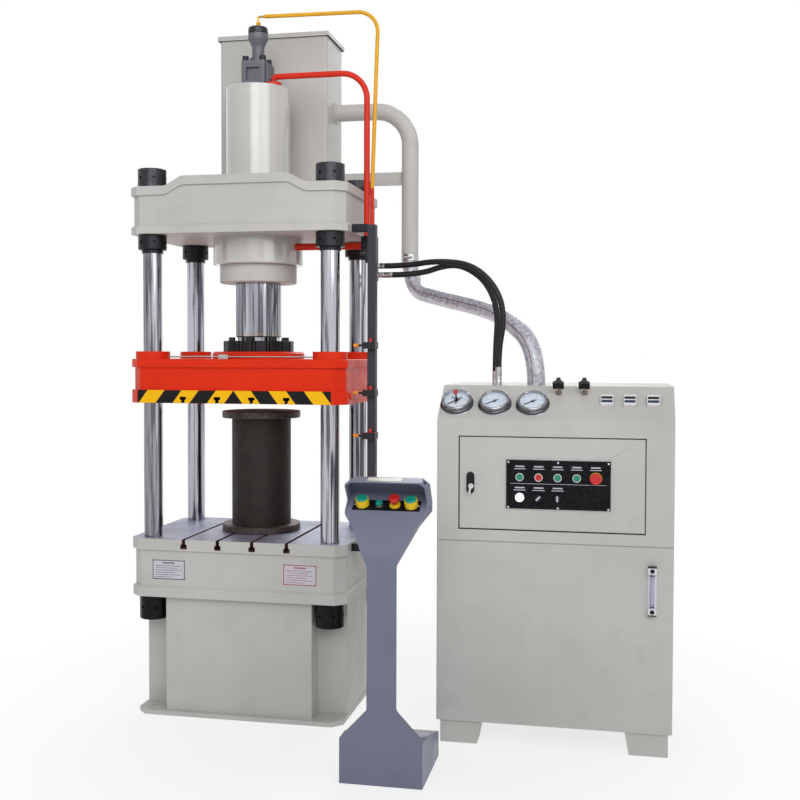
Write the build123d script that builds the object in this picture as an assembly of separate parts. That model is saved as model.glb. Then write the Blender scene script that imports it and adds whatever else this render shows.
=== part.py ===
from build123d import *
import os
from math import cos, degrees, atan2, hypot, radians, sin

# Four-column hydraulic press with its power cabinet and its two-hand control stand.
# Millimetres. The origin is the centre of the press's foot plate, on the floor and on the ram's axis.
# +X runs from the press towards the cabinet, +Y to the back, +Z up.

# Clearances
FIXED_FIT = 0.1
RUNNING_FIT = 0.05
SOFT_GAP = 0.3

# Columns
COLUMN_SPAN_X = 740.0
COLUMN_SPAN_Y = 450.0
COLUMN_DIAMETER = 75.0
COLUMN_CHAMFER = 4.0

# Outline that the bed, the slide and the crown share
BEAM_WIDTH = 895.0
BEAM_DEPTH = 590.0
BEAM_CORNER = 41.0
BEAM_RECESS = 9.0
BEAM_EDGE = 3.0
BEAM_BEVEL = 8.0

# Base frame under the bed
FOOT_WIDTH = 856.0
FOOT_DEPTH = 556.0
FOOT_THICKNESS = 18.0
FOOT_CORNER = 40.0
ANCHOR_INSET_X = 52.0
ANCHOR_INSET_Y = 66.0
ANCHOR_DIAMETER = 22.0
BASE_CORE_GAP = 8.5
BASE_CORE_DEPTH = 518.0
BASE_WING_WIDTH = 850.0
BASE_WING_GAP = 7.5
BASE_HEIGHT = 481.0
BASE_EDGE = 5.0

# Bed
BED_HEIGHT = 234.0
BED_TOP_FLANGE = 46.0
BED_LOW_FLANGE = 43.0
T_SLOT_COUNT = 4
T_SLOT_PITCH = 142.0
T_SLOT_NECK = 14.0
T_SLOT_HEAD = 26.0
BED_SLOT_NECK_DEPTH = 20.0
BED_SLOT_HEAD_DEPTH = 18.0

# Crown
CROWN_LIFT = 671.0
CROWN_SHOULDER_HEIGHT = 187.0
CROWN_RISE = 37.0
CROWN_FLAT_WIDTH = 440.0
CROWN_SLOPE_RUN = 67.0
CROWN_RIM = 35.0
CROWN_LOW_FLANGE = 35.0
CROWN_BLEND = 30.0

# Round nuts on the columns
NUT_DIAMETER = 113.0
TOP_NUT_HEIGHT = 75.0
CROWN_NUT_HEIGHT = 60.0
BED_NUT_HEIGHT = 98.0
NUT_NECK_DIAMETER = 84.0
NUT_NECK_HEIGHT = 14.0
NUT_CHAMFER = 3.0
SPANNER_HOLE = 12.0
SPANNER_HOLE_DEPTH = 12.0
SPANNER_HOLES = 6

# Slide
SLIDE_GAP = 42.0
SLIDE_HEIGHT = 175.0
SLIDE_LOW_FLANGE = 52.0
SLIDE_TOP_FLANGE = 33.0
SLIDE_BOSS_DIAMETER = 136.0
SLIDE_BOSS_HEIGHT = 30.0
SLIDE_PAD_DIAMETER = 380.0
SLIDE_SLOT_NECK_DEPTH = 14.0
SLIDE_SLOT_HEAD_DEPTH = 12.0
BUSHING_DIAMETER = 95.0
BUSHING_SETBACK = 2.0
STRIKER_DIAMETER = 24.0
STRIKER_LENGTH = 6.0
STRIKER_RISE = 31.0

# Ram and its clamp ring
RAM_DIAMETER = 188.0
RAM_NECK_DIAMETER = 172.0
CLAMP_RING_DIAMETER = 290.0
CLAMP_RING_HEIGHT = 44.0
CLAMP_FLUTES = 16
CLAMP_FLUTE_DIAMETER = 18.0
CLAMP_BOLTS = 8
CLAMP_BOLT_CIRCLE = 238.0
CLAMP_BOLT_HEAD = 24.0
CLAMP_BOLT_HEIGHT = 15.0
HEX_SOCKET = 12.0
HEX_SOCKET_DEPTH = 8.0
PISTON_RISE = 184.0
PISTON_HEIGHT = 120.0

# Main cylinder
BARREL_DIAMETER = 262.0
BARREL_BORE = 220.0
BARREL_RISE = 617.0
BARREL_ROOF = 60.0
CYLINDER_FLANGE_DIAMETER = 369.0
CYLINDER_FLANGE_HEIGHT = 111.0
GLAND_DIAMETER = 316.0
GLAND_HEIGHT = 73.0
CYLINDER_EDGE = 4.0

# Filling valve on the cylinder
VALVE_WIDTH = 100.0
VALVE_SHIFT = -5.0
VALVE_DEPTH = 110.0
VALVE_HEIGHT = 108.0
VALVE_WINDOW_WIDTH = 58.0
VALVE_WINDOW_HEIGHT = 52.0
VALVE_WINDOW_DEPTH = 12.0
VALVE_SIDE_PLATE = 12.0
VALVE_BOLT_SPACING = 74.0
VALVE_BOLT_HEAD = 26.0
VALVE_BOLT_HEIGHT = 20.0
BONNET_COLLAR_DIAMETER = 70.0
BONNET_COLLAR_HEIGHT = 16.0
BONNET_NECK_DIAMETER = 50.0
BONNET_NECK_HEIGHT = 63.0
BONNET_CONE_HEIGHT = 34.0
BONNET_CAP_DIAMETER = 82.0
BONNET_CAP_HEIGHT = 47.0
BONNET_CROWN_DIAMETER = 76.0
BONNET_CROWN_HEIGHT = 5.0
BONNET_GROOVE_DEPTH = 2.5
BONNET_GROOVE_HEIGHT = 3.0
PILOT_NUT_SIZE = 21.0
PILOT_NUT_HEIGHT = 22.0
PILOT_STUB_DIAMETER = 9.0
PILOT_STUB_RUN = 29.0
PILOT_STUB_RISE = 24.0

# Rigid pipes
PILOT_PIPE_DIAMETER = 16.0
PILOT_CORNER_X = 510.0
PILOT_CORNER_Y = -5.0
PILOT_FALL = 9.0
PILOT_DROP_X = 495.0
PILOT_JOINT_RISE = 191.0
PILOT_BEND = 85.0
PILOT_JOINT_BEND = 300.0
PRESSURE_PIPE_DIAMETER = 24.0
PRESSURE_FLANGE_DIAMETER = 68.0
PRESSURE_FLANGE_HEIGHT = 12.0
PRESSURE_FLANGE_X = 80.0
PRESSURE_PIPE_RISE = 37.0
PRESSURE_BOLT_SPACING = 48.0
PRESSURE_BOLT_HEAD = 13.0
PRESSURE_BOLT_HEIGHT = 9.0
PRESSURE_DROP_X = 473.0
PRESSURE_ELBOW = 18.0
PRESSURE_BEND = 105.0
RETURN_PIPE_DIAMETER = 28.0
RETURN_PIPE_DROP = 39.0
PIPE_PLANE_Y = -45.0

# Manifold between the rigid pipes and the hoses
MANIFOLD_DROP = 3.0
MANIFOLD_HEADER_HEIGHT = 63.0
MANIFOLD_HEIGHT = 177.0
MANIFOLD_LEFT = 456.0
MANIFOLD_BODY_LEFT = 488.0
MANIFOLD_RIGHT = 514.0
MANIFOLD_DEPTH = 60.0
MANIFOLD_TONGUE_LEFT = 494.0
MANIFOLD_TONGUE_HEIGHT = 50.0

# Switch rail with its three position sensors
RAIL_SIZE = 33.0
RAIL_WALL = 3.0
RAIL_X = 527.0
RAIL_Y = -176.0
RAIL_BOTTOM_DROP = 65.0
RAIL_TOP_RISE = 29.0
RAIL_ARM_DEPTH = 30.0
RAIL_ARM_HEIGHT = 30.0
RAIL_TOP_ARM_RISE = 17.0
RAIL_LOW_ARM_DROP = 23.0
SENSOR_RISES = (-122.0, 45.0, 230.0)
SENSOR_HEIGHT = 26.0
SENSOR_DEPTH = 27.0
SENSOR_JAW = 5.0
SENSOR_REACH = 8.0
SENSOR_PROBE_LENGTH = 18.0
SENSOR_PROBE_DIAMETER = 9.0
SENSOR_TIP_DIAMETER = 14.0
SENSOR_TIP_GAP = 12.0
SENSOR_KNOB_DIAMETER = 12.0
SENSOR_KNOB_HEIGHT = 14.0

# Grease lines on the slide
GREASE_TUBE = 6.0
GREASE_BEND = 20.0
GREASE_BLOCK_X = -70.0
GREASE_BLOCK_LENGTH = 40.0
GREASE_BLOCK_DEPTH = 18.0
GREASE_LINE_GAP = 10.0
GREASE_SIDE_X = 240.0

# Oil tank behind the cylinder
TANK_WIDTH = 482.0
TANK_DEPTH = 250.0
TANK_FRONT = 195.0
TANK_HEIGHT = 656.0
TANK_CORNER = 14.0
LID_OVERHANG = 8.0
LID_THICKNESS = 20.0
LID_EDGE = 3.0

# Filling pipe from the tank to the suction hose
FILL_PIPE_DIAMETER = 73.0
FILL_PIPE_BORE = 65.0
FILL_PIPE_DROP = 298.0
FILL_PIPE_X = 574.0
FILL_PIPE_Y = 340.0
FILL_PIPE_BEND = 150.0
FILL_PIPE_END_DROP = 40.0
FILL_COLLAR_DIAMETER = 92.0
FILL_COLLAR_WIDTH = 10.0
STAY_HEIGHT = 54.0
STAY_DEPTH = 28.0
STAY_THICKNESS = 5.0
STAY_RISE = 66.0
CLAMP_BAND_WIDTH = 26.0
CLAMP_BAND_THICKNESS = 3.0
CLAMP_SCREW_DIAMETER = 12.0
CLAMP_SCREW_LENGTH = 34.0

# Spacer post that stands on the bed under the slide
POST_Y = 35.0
POST_HEIGHT = 500.0
POST_DIAMETER = 246.0
POST_FLANGE_DIAMETER = 326.0
POST_FLANGE_THICKNESS = 28.0
POST_EDGE = 2.0

# Power cabinet
CABINET_X = 1245.0
CABINET_FRONT = -347.0
CABINET_WIDTH = 860.0
CABINET_DEPTH = 650.0
CABINET_FLOOR_GAP = 86.0
CABINET_SEAM_DROP = 49.0
CABINET_SEAM_GAP = 4.0
CABINET_BEND = 1213.0
CABINET_SLOPE_RISE = 122.0
CABINET_SLOPE_RUN = 160.0
CABINET_EDGE = 6.0
FOOT_TOP_WIDTH = 154.0
FOOT_LOW_WIDTH = 138.0
FOOT_PAD_DEPTH = 90.0
FOOT_PAD_INSET = 14.0
FOOT_PAD_SETBACK = 10.0

# Door of the electrical box, hung on its right edge
DOOR_X = -9.0
DOOR_DROP = 64.0
DOOR_WIDTH = 672.0
DOOR_HEIGHT = 339.0
DOOR_THICKNESS = 18.0
DOOR_GAP = 4.0
DOOR_REBATE = 15.0
DOOR_EDGE = 2.0
BOX_DEPTH = 220.0
LOCK_X = -304.0
LOCK_WIDTH = 29.0
LOCK_LENGTH = 80.0
LOCK_THICKNESS = 5.0
LOCK_LEVER_WIDTH = 13.0
LOCK_LEVER_LENGTH = 58.0
LOCK_LEVER_HEIGHT = 9.0
LOCK_PIVOT_DROP = 20.0

# Control panel on the door
PANEL_X = 17.0
PANEL_DROP = 1.5
PANEL_WIDTH = 381.0
PANEL_HEIGHT = 183.0
PANEL_THICKNESS = 3.0
BUTTON_ROW_RISE = 27.0
BUTTON_X = (-122.0, -53.0, 16.0, 84.5)
EMERGENCY_X = 152.5
SELECTOR_ROW_DROP = 48.0
SELECTOR_X = (-53.0, 16.0)
SELECTOR_REST = (45.0, 0.0)
LAMP_X = -122.0
LAMP_DIAMETER = 32.0
LAMP_HEIGHT = 9.0
BEZEL_DIAMETER = 30.0
BEZEL_HEIGHT = 8.0
BEZEL_WALL = 3.0
BUTTON_PROUD = 3.0
BUTTON_LIFT = 4.0
STEM_DIAMETER = 10.0
STEM_LENGTH = 30.0
EMERGENCY_DIAMETER = 42.0
EMERGENCY_HEIGHT = 14.0
EMERGENCY_LIFT = 6.0
EMERGENCY_RING = 44.0
SELECTOR_DIAMETER = 24.0
SELECTOR_HEIGHT = 8.0
SELECTOR_BAR = 7.0
SELECTOR_BAR_HEIGHT = 12.0

# Gauges, needle valves and indicators on the sloping console
GAUGE_X = (-366.0, -223.0, -82.0)
GAUGE_S = 86.0
GAUGE_FLANGE_DIAMETER = 126.0
GAUGE_FLANGE_THICKNESS = 5.0
GAUGE_CASE_DIAMETER = 108.0
GAUGE_CASE_HEIGHT = 26.0
GAUGE_DIAL_DIAMETER = 94.0
GAUGE_DIAL_DEPTH = 8.0
GAUGE_PIVOT_DIAMETER = 5.0
NEEDLE_HUB_DIAMETER = 13.0
NEEDLE_LENGTH = 38.0
NEEDLE_TAIL = 15.0
NEEDLE_WIDTH = 3.0
NEEDLE_THICKNESS = 2.0
NEEDLE_LIFT = 1.0
NEEDLE_REST = 212.0
VALVE_KNOB_X = (10.0, 105.0)
VALVE_KNOB_S = 155.0
VALVE_NUT_SIZE = 24.0
VALVE_NUT_HEIGHT = 16.0
VALVE_STEM_DIAMETER = 10.0
VALVE_STEM_HEIGHT = 34.0
VALVE_KNOB_DIAMETER = 46.0
VALVE_KNOB_HEIGHT = 26.0
VALVE_KNOB_LOBES = 3
VALVE_LOBE_DIAMETER = 17.0
VALVE_HUB_DIAMETER = 24.0
INDICATOR_X = (188.0, 271.0, 355.0)
INDICATOR_S = 114.0
INDICATOR_WIDTH = 47.0
INDICATOR_HEIGHT = 55.0
INDICATOR_THICKNESS = 10.0
INDICATOR_WINDOW = 38.0
INDICATOR_WINDOW_HEIGHT = 12.0
INDICATOR_WINDOW_DEPTH = 2.0

# Oil level gauge on the reservoir
LEVEL_X = 355.0
LEVEL_DROP = 154.0
LEVEL_WIDTH = 30.0
LEVEL_LENGTH = 177.0
LEVEL_DEPTH = 22.0
LEVEL_END = 26.0
LEVEL_TUBE = 15.0

# Two-hand control stand
STAND_X = 705.0
STAND_FRONT = -807.0
STAND_BASE_WIDTH = 287.0
STAND_BASE_DEPTH = 322.0
STAND_BASE_SHOULDER = 168.0
STAND_BASE_BACK_HEIGHT = 90.0
STAND_FLARE_TOP = 254.0
STAND_STEM_WIDTH = 98.0
STAND_STEM_DEPTH = 26.0
STAND_NECK = 742.0
STAND_BEND = 785.0
STAND_CORNER = 13.0
STAND_BLEND = 18.0
STAND_CHEEK_WIDTH = 208.0
STAND_CHEEK_LEVEL = 858.0
STAND_HEAD_LEVEL = 908.0
STAND_HEAD_WIDTH = 282.0
STAND_HEAD_TOP = 1030.0
STAND_HOOD_FALL = 10.0
STAND_HOOD_BACK = 124.0
STAND_CONSOLE_Y = 66.0
STAND_CONSOLE_Z = 920.0
STAND_CONSOLE_SLOPE = 30.0
STAND_CONSOLE_LENGTH = 104.0
STAND_HEAD_BACK = 190.0
STAND_HEAD_BACK_Z = 940.0
STAND_LIP_Y = 60.0
STAND_LIP_HEIGHT = 4.0
STAND_RECESS_BACK = 108.0
STAND_GUSSET_WIDTH = 24.0
STAND_GUSSET_HEIGHT = 15.0
STAND_HOOD_CORNER = 22.0
STAND_CHEEK = 5.0
STAND_CHEEK_Y = 98.0
STAND_CHEEK_Z = 952.0
STAND_STEM_LENGTH = 30.0
STAND_STEM_BORE = 46.0
STAND_STRIP_LENGTH = 234.0
STAND_STRIP_WIDTH = 54.0
STAND_STRIP_RISE = 30.0
STAND_STRIP_THICKNESS = 3.0
STAND_BUTTON_X = (-84.0, 86.0)
STAND_START_X = -26.0
STAND_STOP_X = 29.0
SHROUD_DIAMETER = 46.0
SHROUD_HEIGHT = 26.0
SHROUD_WALL = 3.0
PALM_BUTTON_HEIGHT = 20.0
PALM_BUTTON_LIFT = 12.0
STOP_DIAMETER = 37.0
STOP_LIFT = 25.0
STOP_HEIGHT = 12.0
STOP_RING_DIAMETER = 38.0
STOP_RING_HEIGHT = 6.0
START_DIAMETER = 24.0
START_LIFT = 6.0
START_HEIGHT = 8.0

# Hoses, as hand-chosen points on their routes: X, Y and the share of the height from the cabinet's top up
# to the hose's upper end
SUCTION_HOSE_DIAMETER = 70.0
PRESSURE_HOSE_DIAMETER = 23.0
FERRULE_DIAMETER = 25.0
HOSE_UPPER_RISE = 59.5
HOSE_LOWER_RISE = 23.5
FERRULE_UPPER_LENGTH = 34.0
FERRULE_LOWER_LENGTH = 66.0
FERRULE_UPPER_HEIGHT = 70.0
FERRULE_LOWER_HEIGHT = 54.0
UPPER_HOSE_FOOT = (1022.0, -165.0)
LOWER_HOSE_FOOT = (1006.0, -130.0)
SUCTION_HOSE_FOOT = (1163.0, -130.0)
SUCTION_HOSE_MIDDLE = [
    (574.0, 340.0, 0.7233),
    (727.0, 218.0, 0.6438),
    (919.0, 64.0, 0.5606),
    (1038.0, -30.0, 0.4720),
    (1163.0, -130.0, 0.2658),
]
UPPER_HOSE_MIDDLE = [
    (640.0, -45.0, 1.0),
    (768.0, -96.0, 1.0286),
    (919.0, -150.0, 0.9862),
    (1017.0, -178.0, 0.7831),
    (1046.0, -180.0, 0.5481),
    (1022.0, -165.0, 0.2984),
]
LOWER_HOSE_MIDDLE = [
    (688.0, -45.0, 1.0),
    (801.0, -82.0, 1.0756),
    (880.0, -105.0, 1.0607),
    (971.0, -123.0, 0.9129),
    (1016.0, -132.0, 0.6495),
    (1006.0, -130.0, 0.3184),
]
RUN_SHARE = 0.45

# Levels and places that follow from the sizes above
BED_TOP = BASE_HEIGHT + BED_HEIGHT
SLIDE_BOTTOM = BED_TOP + POST_HEIGHT + SLIDE_GAP
CROWN_BOTTOM = SLIDE_BOTTOM + CROWN_LIFT
BASE_CORE_WIDTH = COLUMN_SPAN_X - NUT_DIAMETER - 2 * BASE_CORE_GAP
BASE_WING_DEPTH = COLUMN_SPAN_Y - NUT_DIAMETER - 2 * BASE_WING_GAP
CROWN_SHOULDER = CROWN_BOTTOM + CROWN_SHOULDER_HEIGHT
CROWN_TOP = CROWN_SHOULDER + CROWN_RISE
BARREL_TOP = CROWN_BOTTOM + BARREL_RISE
PISTON_BOTTOM = CROWN_BOTTOM + PISTON_RISE
TANK_TOP = CROWN_TOP + TANK_HEIGHT
FILL_PIPE_LEVEL = TANK_TOP - FILL_PIPE_DROP
FILL_PIPE_END = CROWN_BOTTOM - FILL_PIPE_END_DROP
STAY_LEVEL = CROWN_TOP + STAY_RISE
PRESSURE_PIPE_LEVEL = BARREL_TOP + PRESSURE_PIPE_RISE
RETURN_PIPE_LEVEL = CROWN_BOTTOM - RETURN_PIPE_DROP
PILOT_JOINT_LEVEL = CROWN_BOTTOM + PILOT_JOINT_RISE
MANIFOLD_TOP = CROWN_BOTTOM - MANIFOLD_DROP
MANIFOLD_HEADER_BOTTOM = MANIFOLD_TOP - MANIFOLD_HEADER_HEIGHT
MANIFOLD_BOTTOM = MANIFOLD_TOP - MANIFOLD_HEIGHT
HOSE_UPPER_LEVEL = MANIFOLD_BOTTOM + HOSE_UPPER_RISE
HOSE_LOWER_LEVEL = MANIFOLD_BOTTOM + HOSE_LOWER_RISE
RAIL_BOTTOM = BED_TOP - RAIL_BOTTOM_DROP
RAIL_LOW_ARM = BED_TOP - RAIL_LOW_ARM_DROP
RAIL_TOP = CROWN_BOTTOM + RAIL_TOP_RISE
RAIL_TOP_ARM = CROWN_BOTTOM + RAIL_TOP_ARM_RISE
SENSOR_LEVELS = [SLIDE_BOTTOM + rise for rise in SENSOR_RISES]
SLIDE_TOP = SLIDE_BOTTOM + SLIDE_HEIGHT
SLIDE_PAD_TOP = SLIDE_TOP + SLIDE_BOSS_HEIGHT
RING_TOP = SLIDE_PAD_TOP + CLAMP_RING_HEIGHT
RAM_SHOULDER = RING_TOP + CLAMP_BOLT_HEIGHT
CYLINDER_FLANGE_BOTTOM = CROWN_BOTTOM - CYLINDER_FLANGE_HEIGHT
GLAND_BOTTOM = CYLINDER_FLANGE_BOTTOM - GLAND_HEIGHT
VALVE_TOP = BARREL_TOP + VALVE_HEIGHT
BONNET_NECK_TOP = VALVE_TOP + BONNET_NECK_HEIGHT
BONNET_CONE_TOP = BONNET_NECK_TOP + BONNET_CONE_HEIGHT
BONNET_TOP = BONNET_CONE_TOP + BONNET_CAP_HEIGHT
PILOT_LEVEL = BONNET_TOP + PILOT_NUT_HEIGHT + PILOT_STUB_RISE
PILOT_CORNER = (PILOT_CORNER_X, PILOT_CORNER_Y, PILOT_LEVEL - PILOT_FALL)
CABINET_BACK = CABINET_FRONT + CABINET_DEPTH
BEAM_SIDE = BEAM_WIDTH / 2
RAIL_FRONT = RAIL_Y - RAIL_SIZE / 2
CABINET_TOP = CABINET_BEND + CABINET_SLOPE_RISE
SLOPE_ANGLE = degrees(atan2(CABINET_SLOPE_RISE, CABINET_SLOPE_RUN))
DOOR_Z = CABINET_BEND - DOOR_DROP - DOOR_HEIGHT / 2
CABINET_SEAM = DOOR_Z - DOOR_HEIGHT / 2 - CABINET_SEAM_DROP
PANEL_Z = DOOR_Z - PANEL_DROP
BUTTON_ROW_Z = PANEL_Z + BUTTON_ROW_RISE
SELECTOR_ROW_Z = PANEL_Z - SELECTOR_ROW_DROP
LEVEL_Z = CABINET_SEAM - LEVEL_DROP
COLUMN_PLACES = [
    (side * COLUMN_SPAN_X / 2, end * COLUMN_SPAN_Y / 2) for end in (-1, 1) for side in (-1, 1)
]
SLOT_PLACES = [(index - (T_SLOT_COUNT - 1) / 2) * T_SLOT_PITCH for index in range(T_SLOT_COUNT)]

parts = {}


def keep(name, shape):
    """Registers one finished piece under the name of its file."""
    parts[name] = shape


def block(x0, x1, y0, y1, z0, z1):
    """Box between two opposite corners."""
    size = Box(x1 - x0, y1 - y0, z1 - z0)
    return Pos((x0 + x1) / 2, (y0 + y1) / 2, (z0 + z1) / 2) * size


def rod(diameter, z0, z1, x=0.0, y=0.0):
    """Upright cylinder between two levels."""
    return Pos(x, y, (z0 + z1) / 2) * Cylinder(diameter / 2, z1 - z0)


def front_outline(points, y0, y1):
    """Outline drawn in X and Z, carried from y0 back to y1."""
    face = Plane.XZ.offset(-y1) * Polygon(*points, align=None)
    return extrude(face, amount=y1 - y0, dir=(0, -1, 0))


def side_outline(points, x0, x1):
    """Outline drawn in Y and Z, carried from x0 to x1."""
    face = Plane.YZ.offset(x0) * Polygon(*points, align=None)
    return extrude(face, amount=x1 - x0, dir=(1, 0, 0))


def beam_slab(z0, z1, inset=0.0):
    """Slab with the cut corners of the bed, slide and crown."""
    outline = Rectangle(BEAM_WIDTH - 2 * inset, BEAM_DEPTH - 2 * inset)
    outline = chamfer(outline.vertices(), BEAM_CORNER)
    return Pos(0, 0, z0) * extrude(outline, amount=z1 - z0)


def column_bores(diameter, z0, z1):
    """Four upright cylinders on the column centres, to cut with."""
    return [rod(diameter, z0, z1, x, y) for x, y in COLUMN_PLACES]


def t_slots(face_z, neck_depth, head_depth, inward):
    """Slots along Y whose mouths are at face_z and whose heads lie inward (+1 up, -1 down)."""
    neck_end = face_z + inward * neck_depth
    head_end = neck_end + inward * head_depth
    cuts = []
    for x in SLOT_PLACES:
        for width, z0, z1 in ((T_SLOT_NECK, face_z, neck_end), (T_SLOT_HEAD, neck_end, head_end)):
            low, high = sorted((z0, z1))
            cuts.append(block(x - width / 2, x + width / 2, -BEAM_DEPTH, BEAM_DEPTH, low, high))
    return cuts


def bent_tube(points, radii, diameter):
    """Round tube along straight runs joined by tangent arcs."""
    path = FilletPolyline(*points, radius=radii)
    start = Plane(path @ 0, z_dir=path % 0)
    return sweep(start * Circle(diameter / 2), path=path)


def route_radii(points):
    """Arc radius at each corner of a hose, as large as its two runs allow."""
    runs = [Vector(*b) - Vector(*a) for a, b in zip(points, points[1:])]
    radii = []
    for before, after in zip(runs, runs[1:]):
        half_turn = radians(before.get_angle(after)) / 2
        shorter = min(before.length, after.length)
        radii.append(RUN_SHARE * shorter * cos(half_turn) / sin(half_turn))
    return radii


def hex_socket(x, y, z):
    """Hexagonal recess that opens upwards at z."""
    recess = extrude(RegularPolygon(HEX_SOCKET / 2, 6), amount=-HEX_SOCKET_DEPTH)
    return Pos(x, y, z) * recess


def socket_head(diameter, height, x, y, z):
    """Head of a socket screw standing on z."""
    return rod(diameter, z, z + height, x, y) - hex_socket(x, y, z + height)


# Base frame, bed and columns

def base_frame():
    foot = extrude(chamfer(Rectangle(FOOT_WIDTH, FOOT_DEPTH).vertices(), FOOT_CORNER), FOOT_THICKNESS)
    core = Rectangle(BASE_CORE_WIDTH, BASE_CORE_DEPTH) + Rectangle(BASE_WING_WIDTH, BASE_WING_DEPTH)
    box = Pos(0, 0, FOOT_THICKNESS) * extrude(core, amount=BASE_HEIGHT - FOOT_THICKNESS)
    box = fillet(box.edges().filter_by(Axis.Z), BASE_EDGE)
    holes = [
        rod(ANCHOR_DIAMETER, 0, FOOT_THICKNESS, x, y)
        for x in (ANCHOR_INSET_X - FOOT_WIDTH / 2, FOOT_WIDTH / 2 - ANCHOR_INSET_X)
        for y in (ANCHOR_INSET_Y - FOOT_DEPTH / 2, FOOT_DEPTH / 2 - ANCHOR_INSET_Y)
    ]
    return foot - holes + box


def low_flange(z0, height):
    """Bottom flange whose upper edge is bevelled back towards the web."""
    slab = beam_slab(z0, z0 + height)
    return chamfer(slab.faces().sort_by(Axis.Z)[-1].edges(), BEAM_BEVEL)


def bed():
    web = beam_slab(BASE_HEIGHT, BED_TOP, BEAM_RECESS)
    table = beam_slab(BED_TOP - BED_TOP_FLANGE, BED_TOP)
    table = chamfer(table.faces().sort_by(Axis.Z)[-1].edges(), BEAM_EDGE)
    body = web + low_flange(BASE_HEIGHT, BED_LOW_FLANGE) + table
    bores = column_bores(COLUMN_DIAMETER + 2 * FIXED_FIT, BASE_HEIGHT, BED_TOP)
    return body - bores - t_slots(BED_TOP, BED_SLOT_NECK_DEPTH, BED_SLOT_HEAD_DEPTH, -1)


def columns():
    bottom = BASE_HEIGHT - BED_NUT_HEIGHT
    top = CROWN_SHOULDER + TOP_NUT_HEIGHT
    column = rod(COLUMN_DIAMETER, bottom, top)
    column = chamfer(column.edges().filter_by(GeomType.CIRCLE), COLUMN_CHAMFER)
    return Compound([Pos(x, y) * column for x, y in COLUMN_PLACES])


def round_nut(z0, height, neck_height=0.0):
    """Round nut with radial spanner holes and, below it, an optional threaded neck."""
    nut = rod(NUT_DIAMETER, z0, z0 + height)
    nut = chamfer(nut.edges().filter_by(GeomType.CIRCLE), NUT_CHAMFER)
    if neck_height:
        nut += rod(NUT_NECK_DIAMETER, z0 - neck_height, z0)
    hole = Pos(NUT_DIAMETER / 2, 0, z0 + height / 2) * Rot(0, 90, 0) * Cylinder(
        SPANNER_HOLE / 2, 2 * SPANNER_HOLE_DEPTH
    )
    holes = [Rot(0, 0, turn * 360 / SPANNER_HOLES) * hole for turn in range(SPANNER_HOLES)]
    return nut - rod(COLUMN_DIAMETER + 2 * FIXED_FIT, z0 - neck_height, z0 + height) - holes


def column_nuts():
    nuts = [
        round_nut(BASE_HEIGHT - BED_NUT_HEIGHT, BED_NUT_HEIGHT),
        round_nut(CROWN_BOTTOM - CROWN_NUT_HEIGHT, CROWN_NUT_HEIGHT, NUT_NECK_HEIGHT),
        round_nut(CROWN_SHOULDER, TOP_NUT_HEIGHT),
    ]
    return Compound([Pos(x, y) * nut for nut in nuts for x, y in COLUMN_PLACES])


# Crown, cylinder and ram

def crown():
    flat = CROWN_FLAT_WIDTH / 2
    foot = flat + CROWN_SLOPE_RUN
    side = BEAM_SIDE

    def rim_line(drop):
        return [
            (side, CROWN_SHOULDER - drop),
            (foot, CROWN_SHOULDER - drop),
            (flat, CROWN_TOP - drop),
            (-flat, CROWN_TOP - drop),
            (-foot, CROWN_SHOULDER - drop),
            (-side, CROWN_SHOULDER - drop),
        ]

    def humped(points, y_half):
        body = front_outline(points, -y_half, y_half)
        corners = [
            edge for edge in body.edges().filter_by(Axis.Y) if abs(edge.center().X) < side - BEAM_EDGE
        ]
        return fillet(corners, CROWN_BLEND)

    rim = humped(rim_line(0) + rim_line(CROWN_RIM)[::-1], BEAM_DEPTH / 2)
    rim = rim & beam_slab(CROWN_BOTTOM, CROWN_TOP)
    web_outline = rim_line(CROWN_RIM / 2) + [(-side, CROWN_BOTTOM), (side, CROWN_BOTTOM)]
    web = humped(web_outline, BEAM_DEPTH / 2) & beam_slab(CROWN_BOTTOM, CROWN_TOP, BEAM_RECESS)
    body = rim + web + low_flange(CROWN_BOTTOM, CROWN_LOW_FLANGE)
    bores = column_bores(COLUMN_DIAMETER + 2 * FIXED_FIT, CROWN_BOTTOM, CROWN_TOP)
    return body - bores - rod(BARREL_DIAMETER + 2 * FIXED_FIT, CROWN_BOTTOM, CROWN_TOP)


def cylinder_barrel():
    barrel = rod(BARREL_DIAMETER, CYLINDER_FLANGE_BOTTOM, BARREL_TOP)
    barrel = chamfer(barrel.edges().group_by(Axis.Z)[-1], CYLINDER_EDGE)
    flange = rod(CYLINDER_FLANGE_DIAMETER, CYLINDER_FLANGE_BOTTOM, CROWN_BOTTOM)
    flange = chamfer(flange.edges().group_by(Axis.Z)[0], CYLINDER_EDGE)
    return barrel + flange - rod(BARREL_BORE, CYLINDER_FLANGE_BOTTOM, BARREL_TOP - BARREL_ROOF)


def gland_cover():
    cover = rod(GLAND_DIAMETER, GLAND_BOTTOM, CYLINDER_FLANGE_BOTTOM)
    cover = chamfer(cover.edges().group_by(Axis.Z)[0], CYLINDER_EDGE)
    return cover - rod(RAM_DIAMETER + 2 * RUNNING_FIT, GLAND_BOTTOM, CYLINDER_FLANGE_BOTTOM)


def ram():
    neck = rod(RAM_NECK_DIAMETER, SLIDE_PAD_TOP, RAM_SHOULDER)
    shaft = rod(RAM_DIAMETER, RAM_SHOULDER, PISTON_BOTTOM)
    shaft = chamfer(shaft.edges().group_by(Axis.Z)[0], CYLINDER_EDGE)
    piston = rod(BARREL_BORE - 2 * RUNNING_FIT, PISTON_BOTTOM, PISTON_BOTTOM + PISTON_HEIGHT)
    return neck + shaft + chamfer(piston.edges().filter_by(GeomType.CIRCLE), CYLINDER_EDGE)


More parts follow.
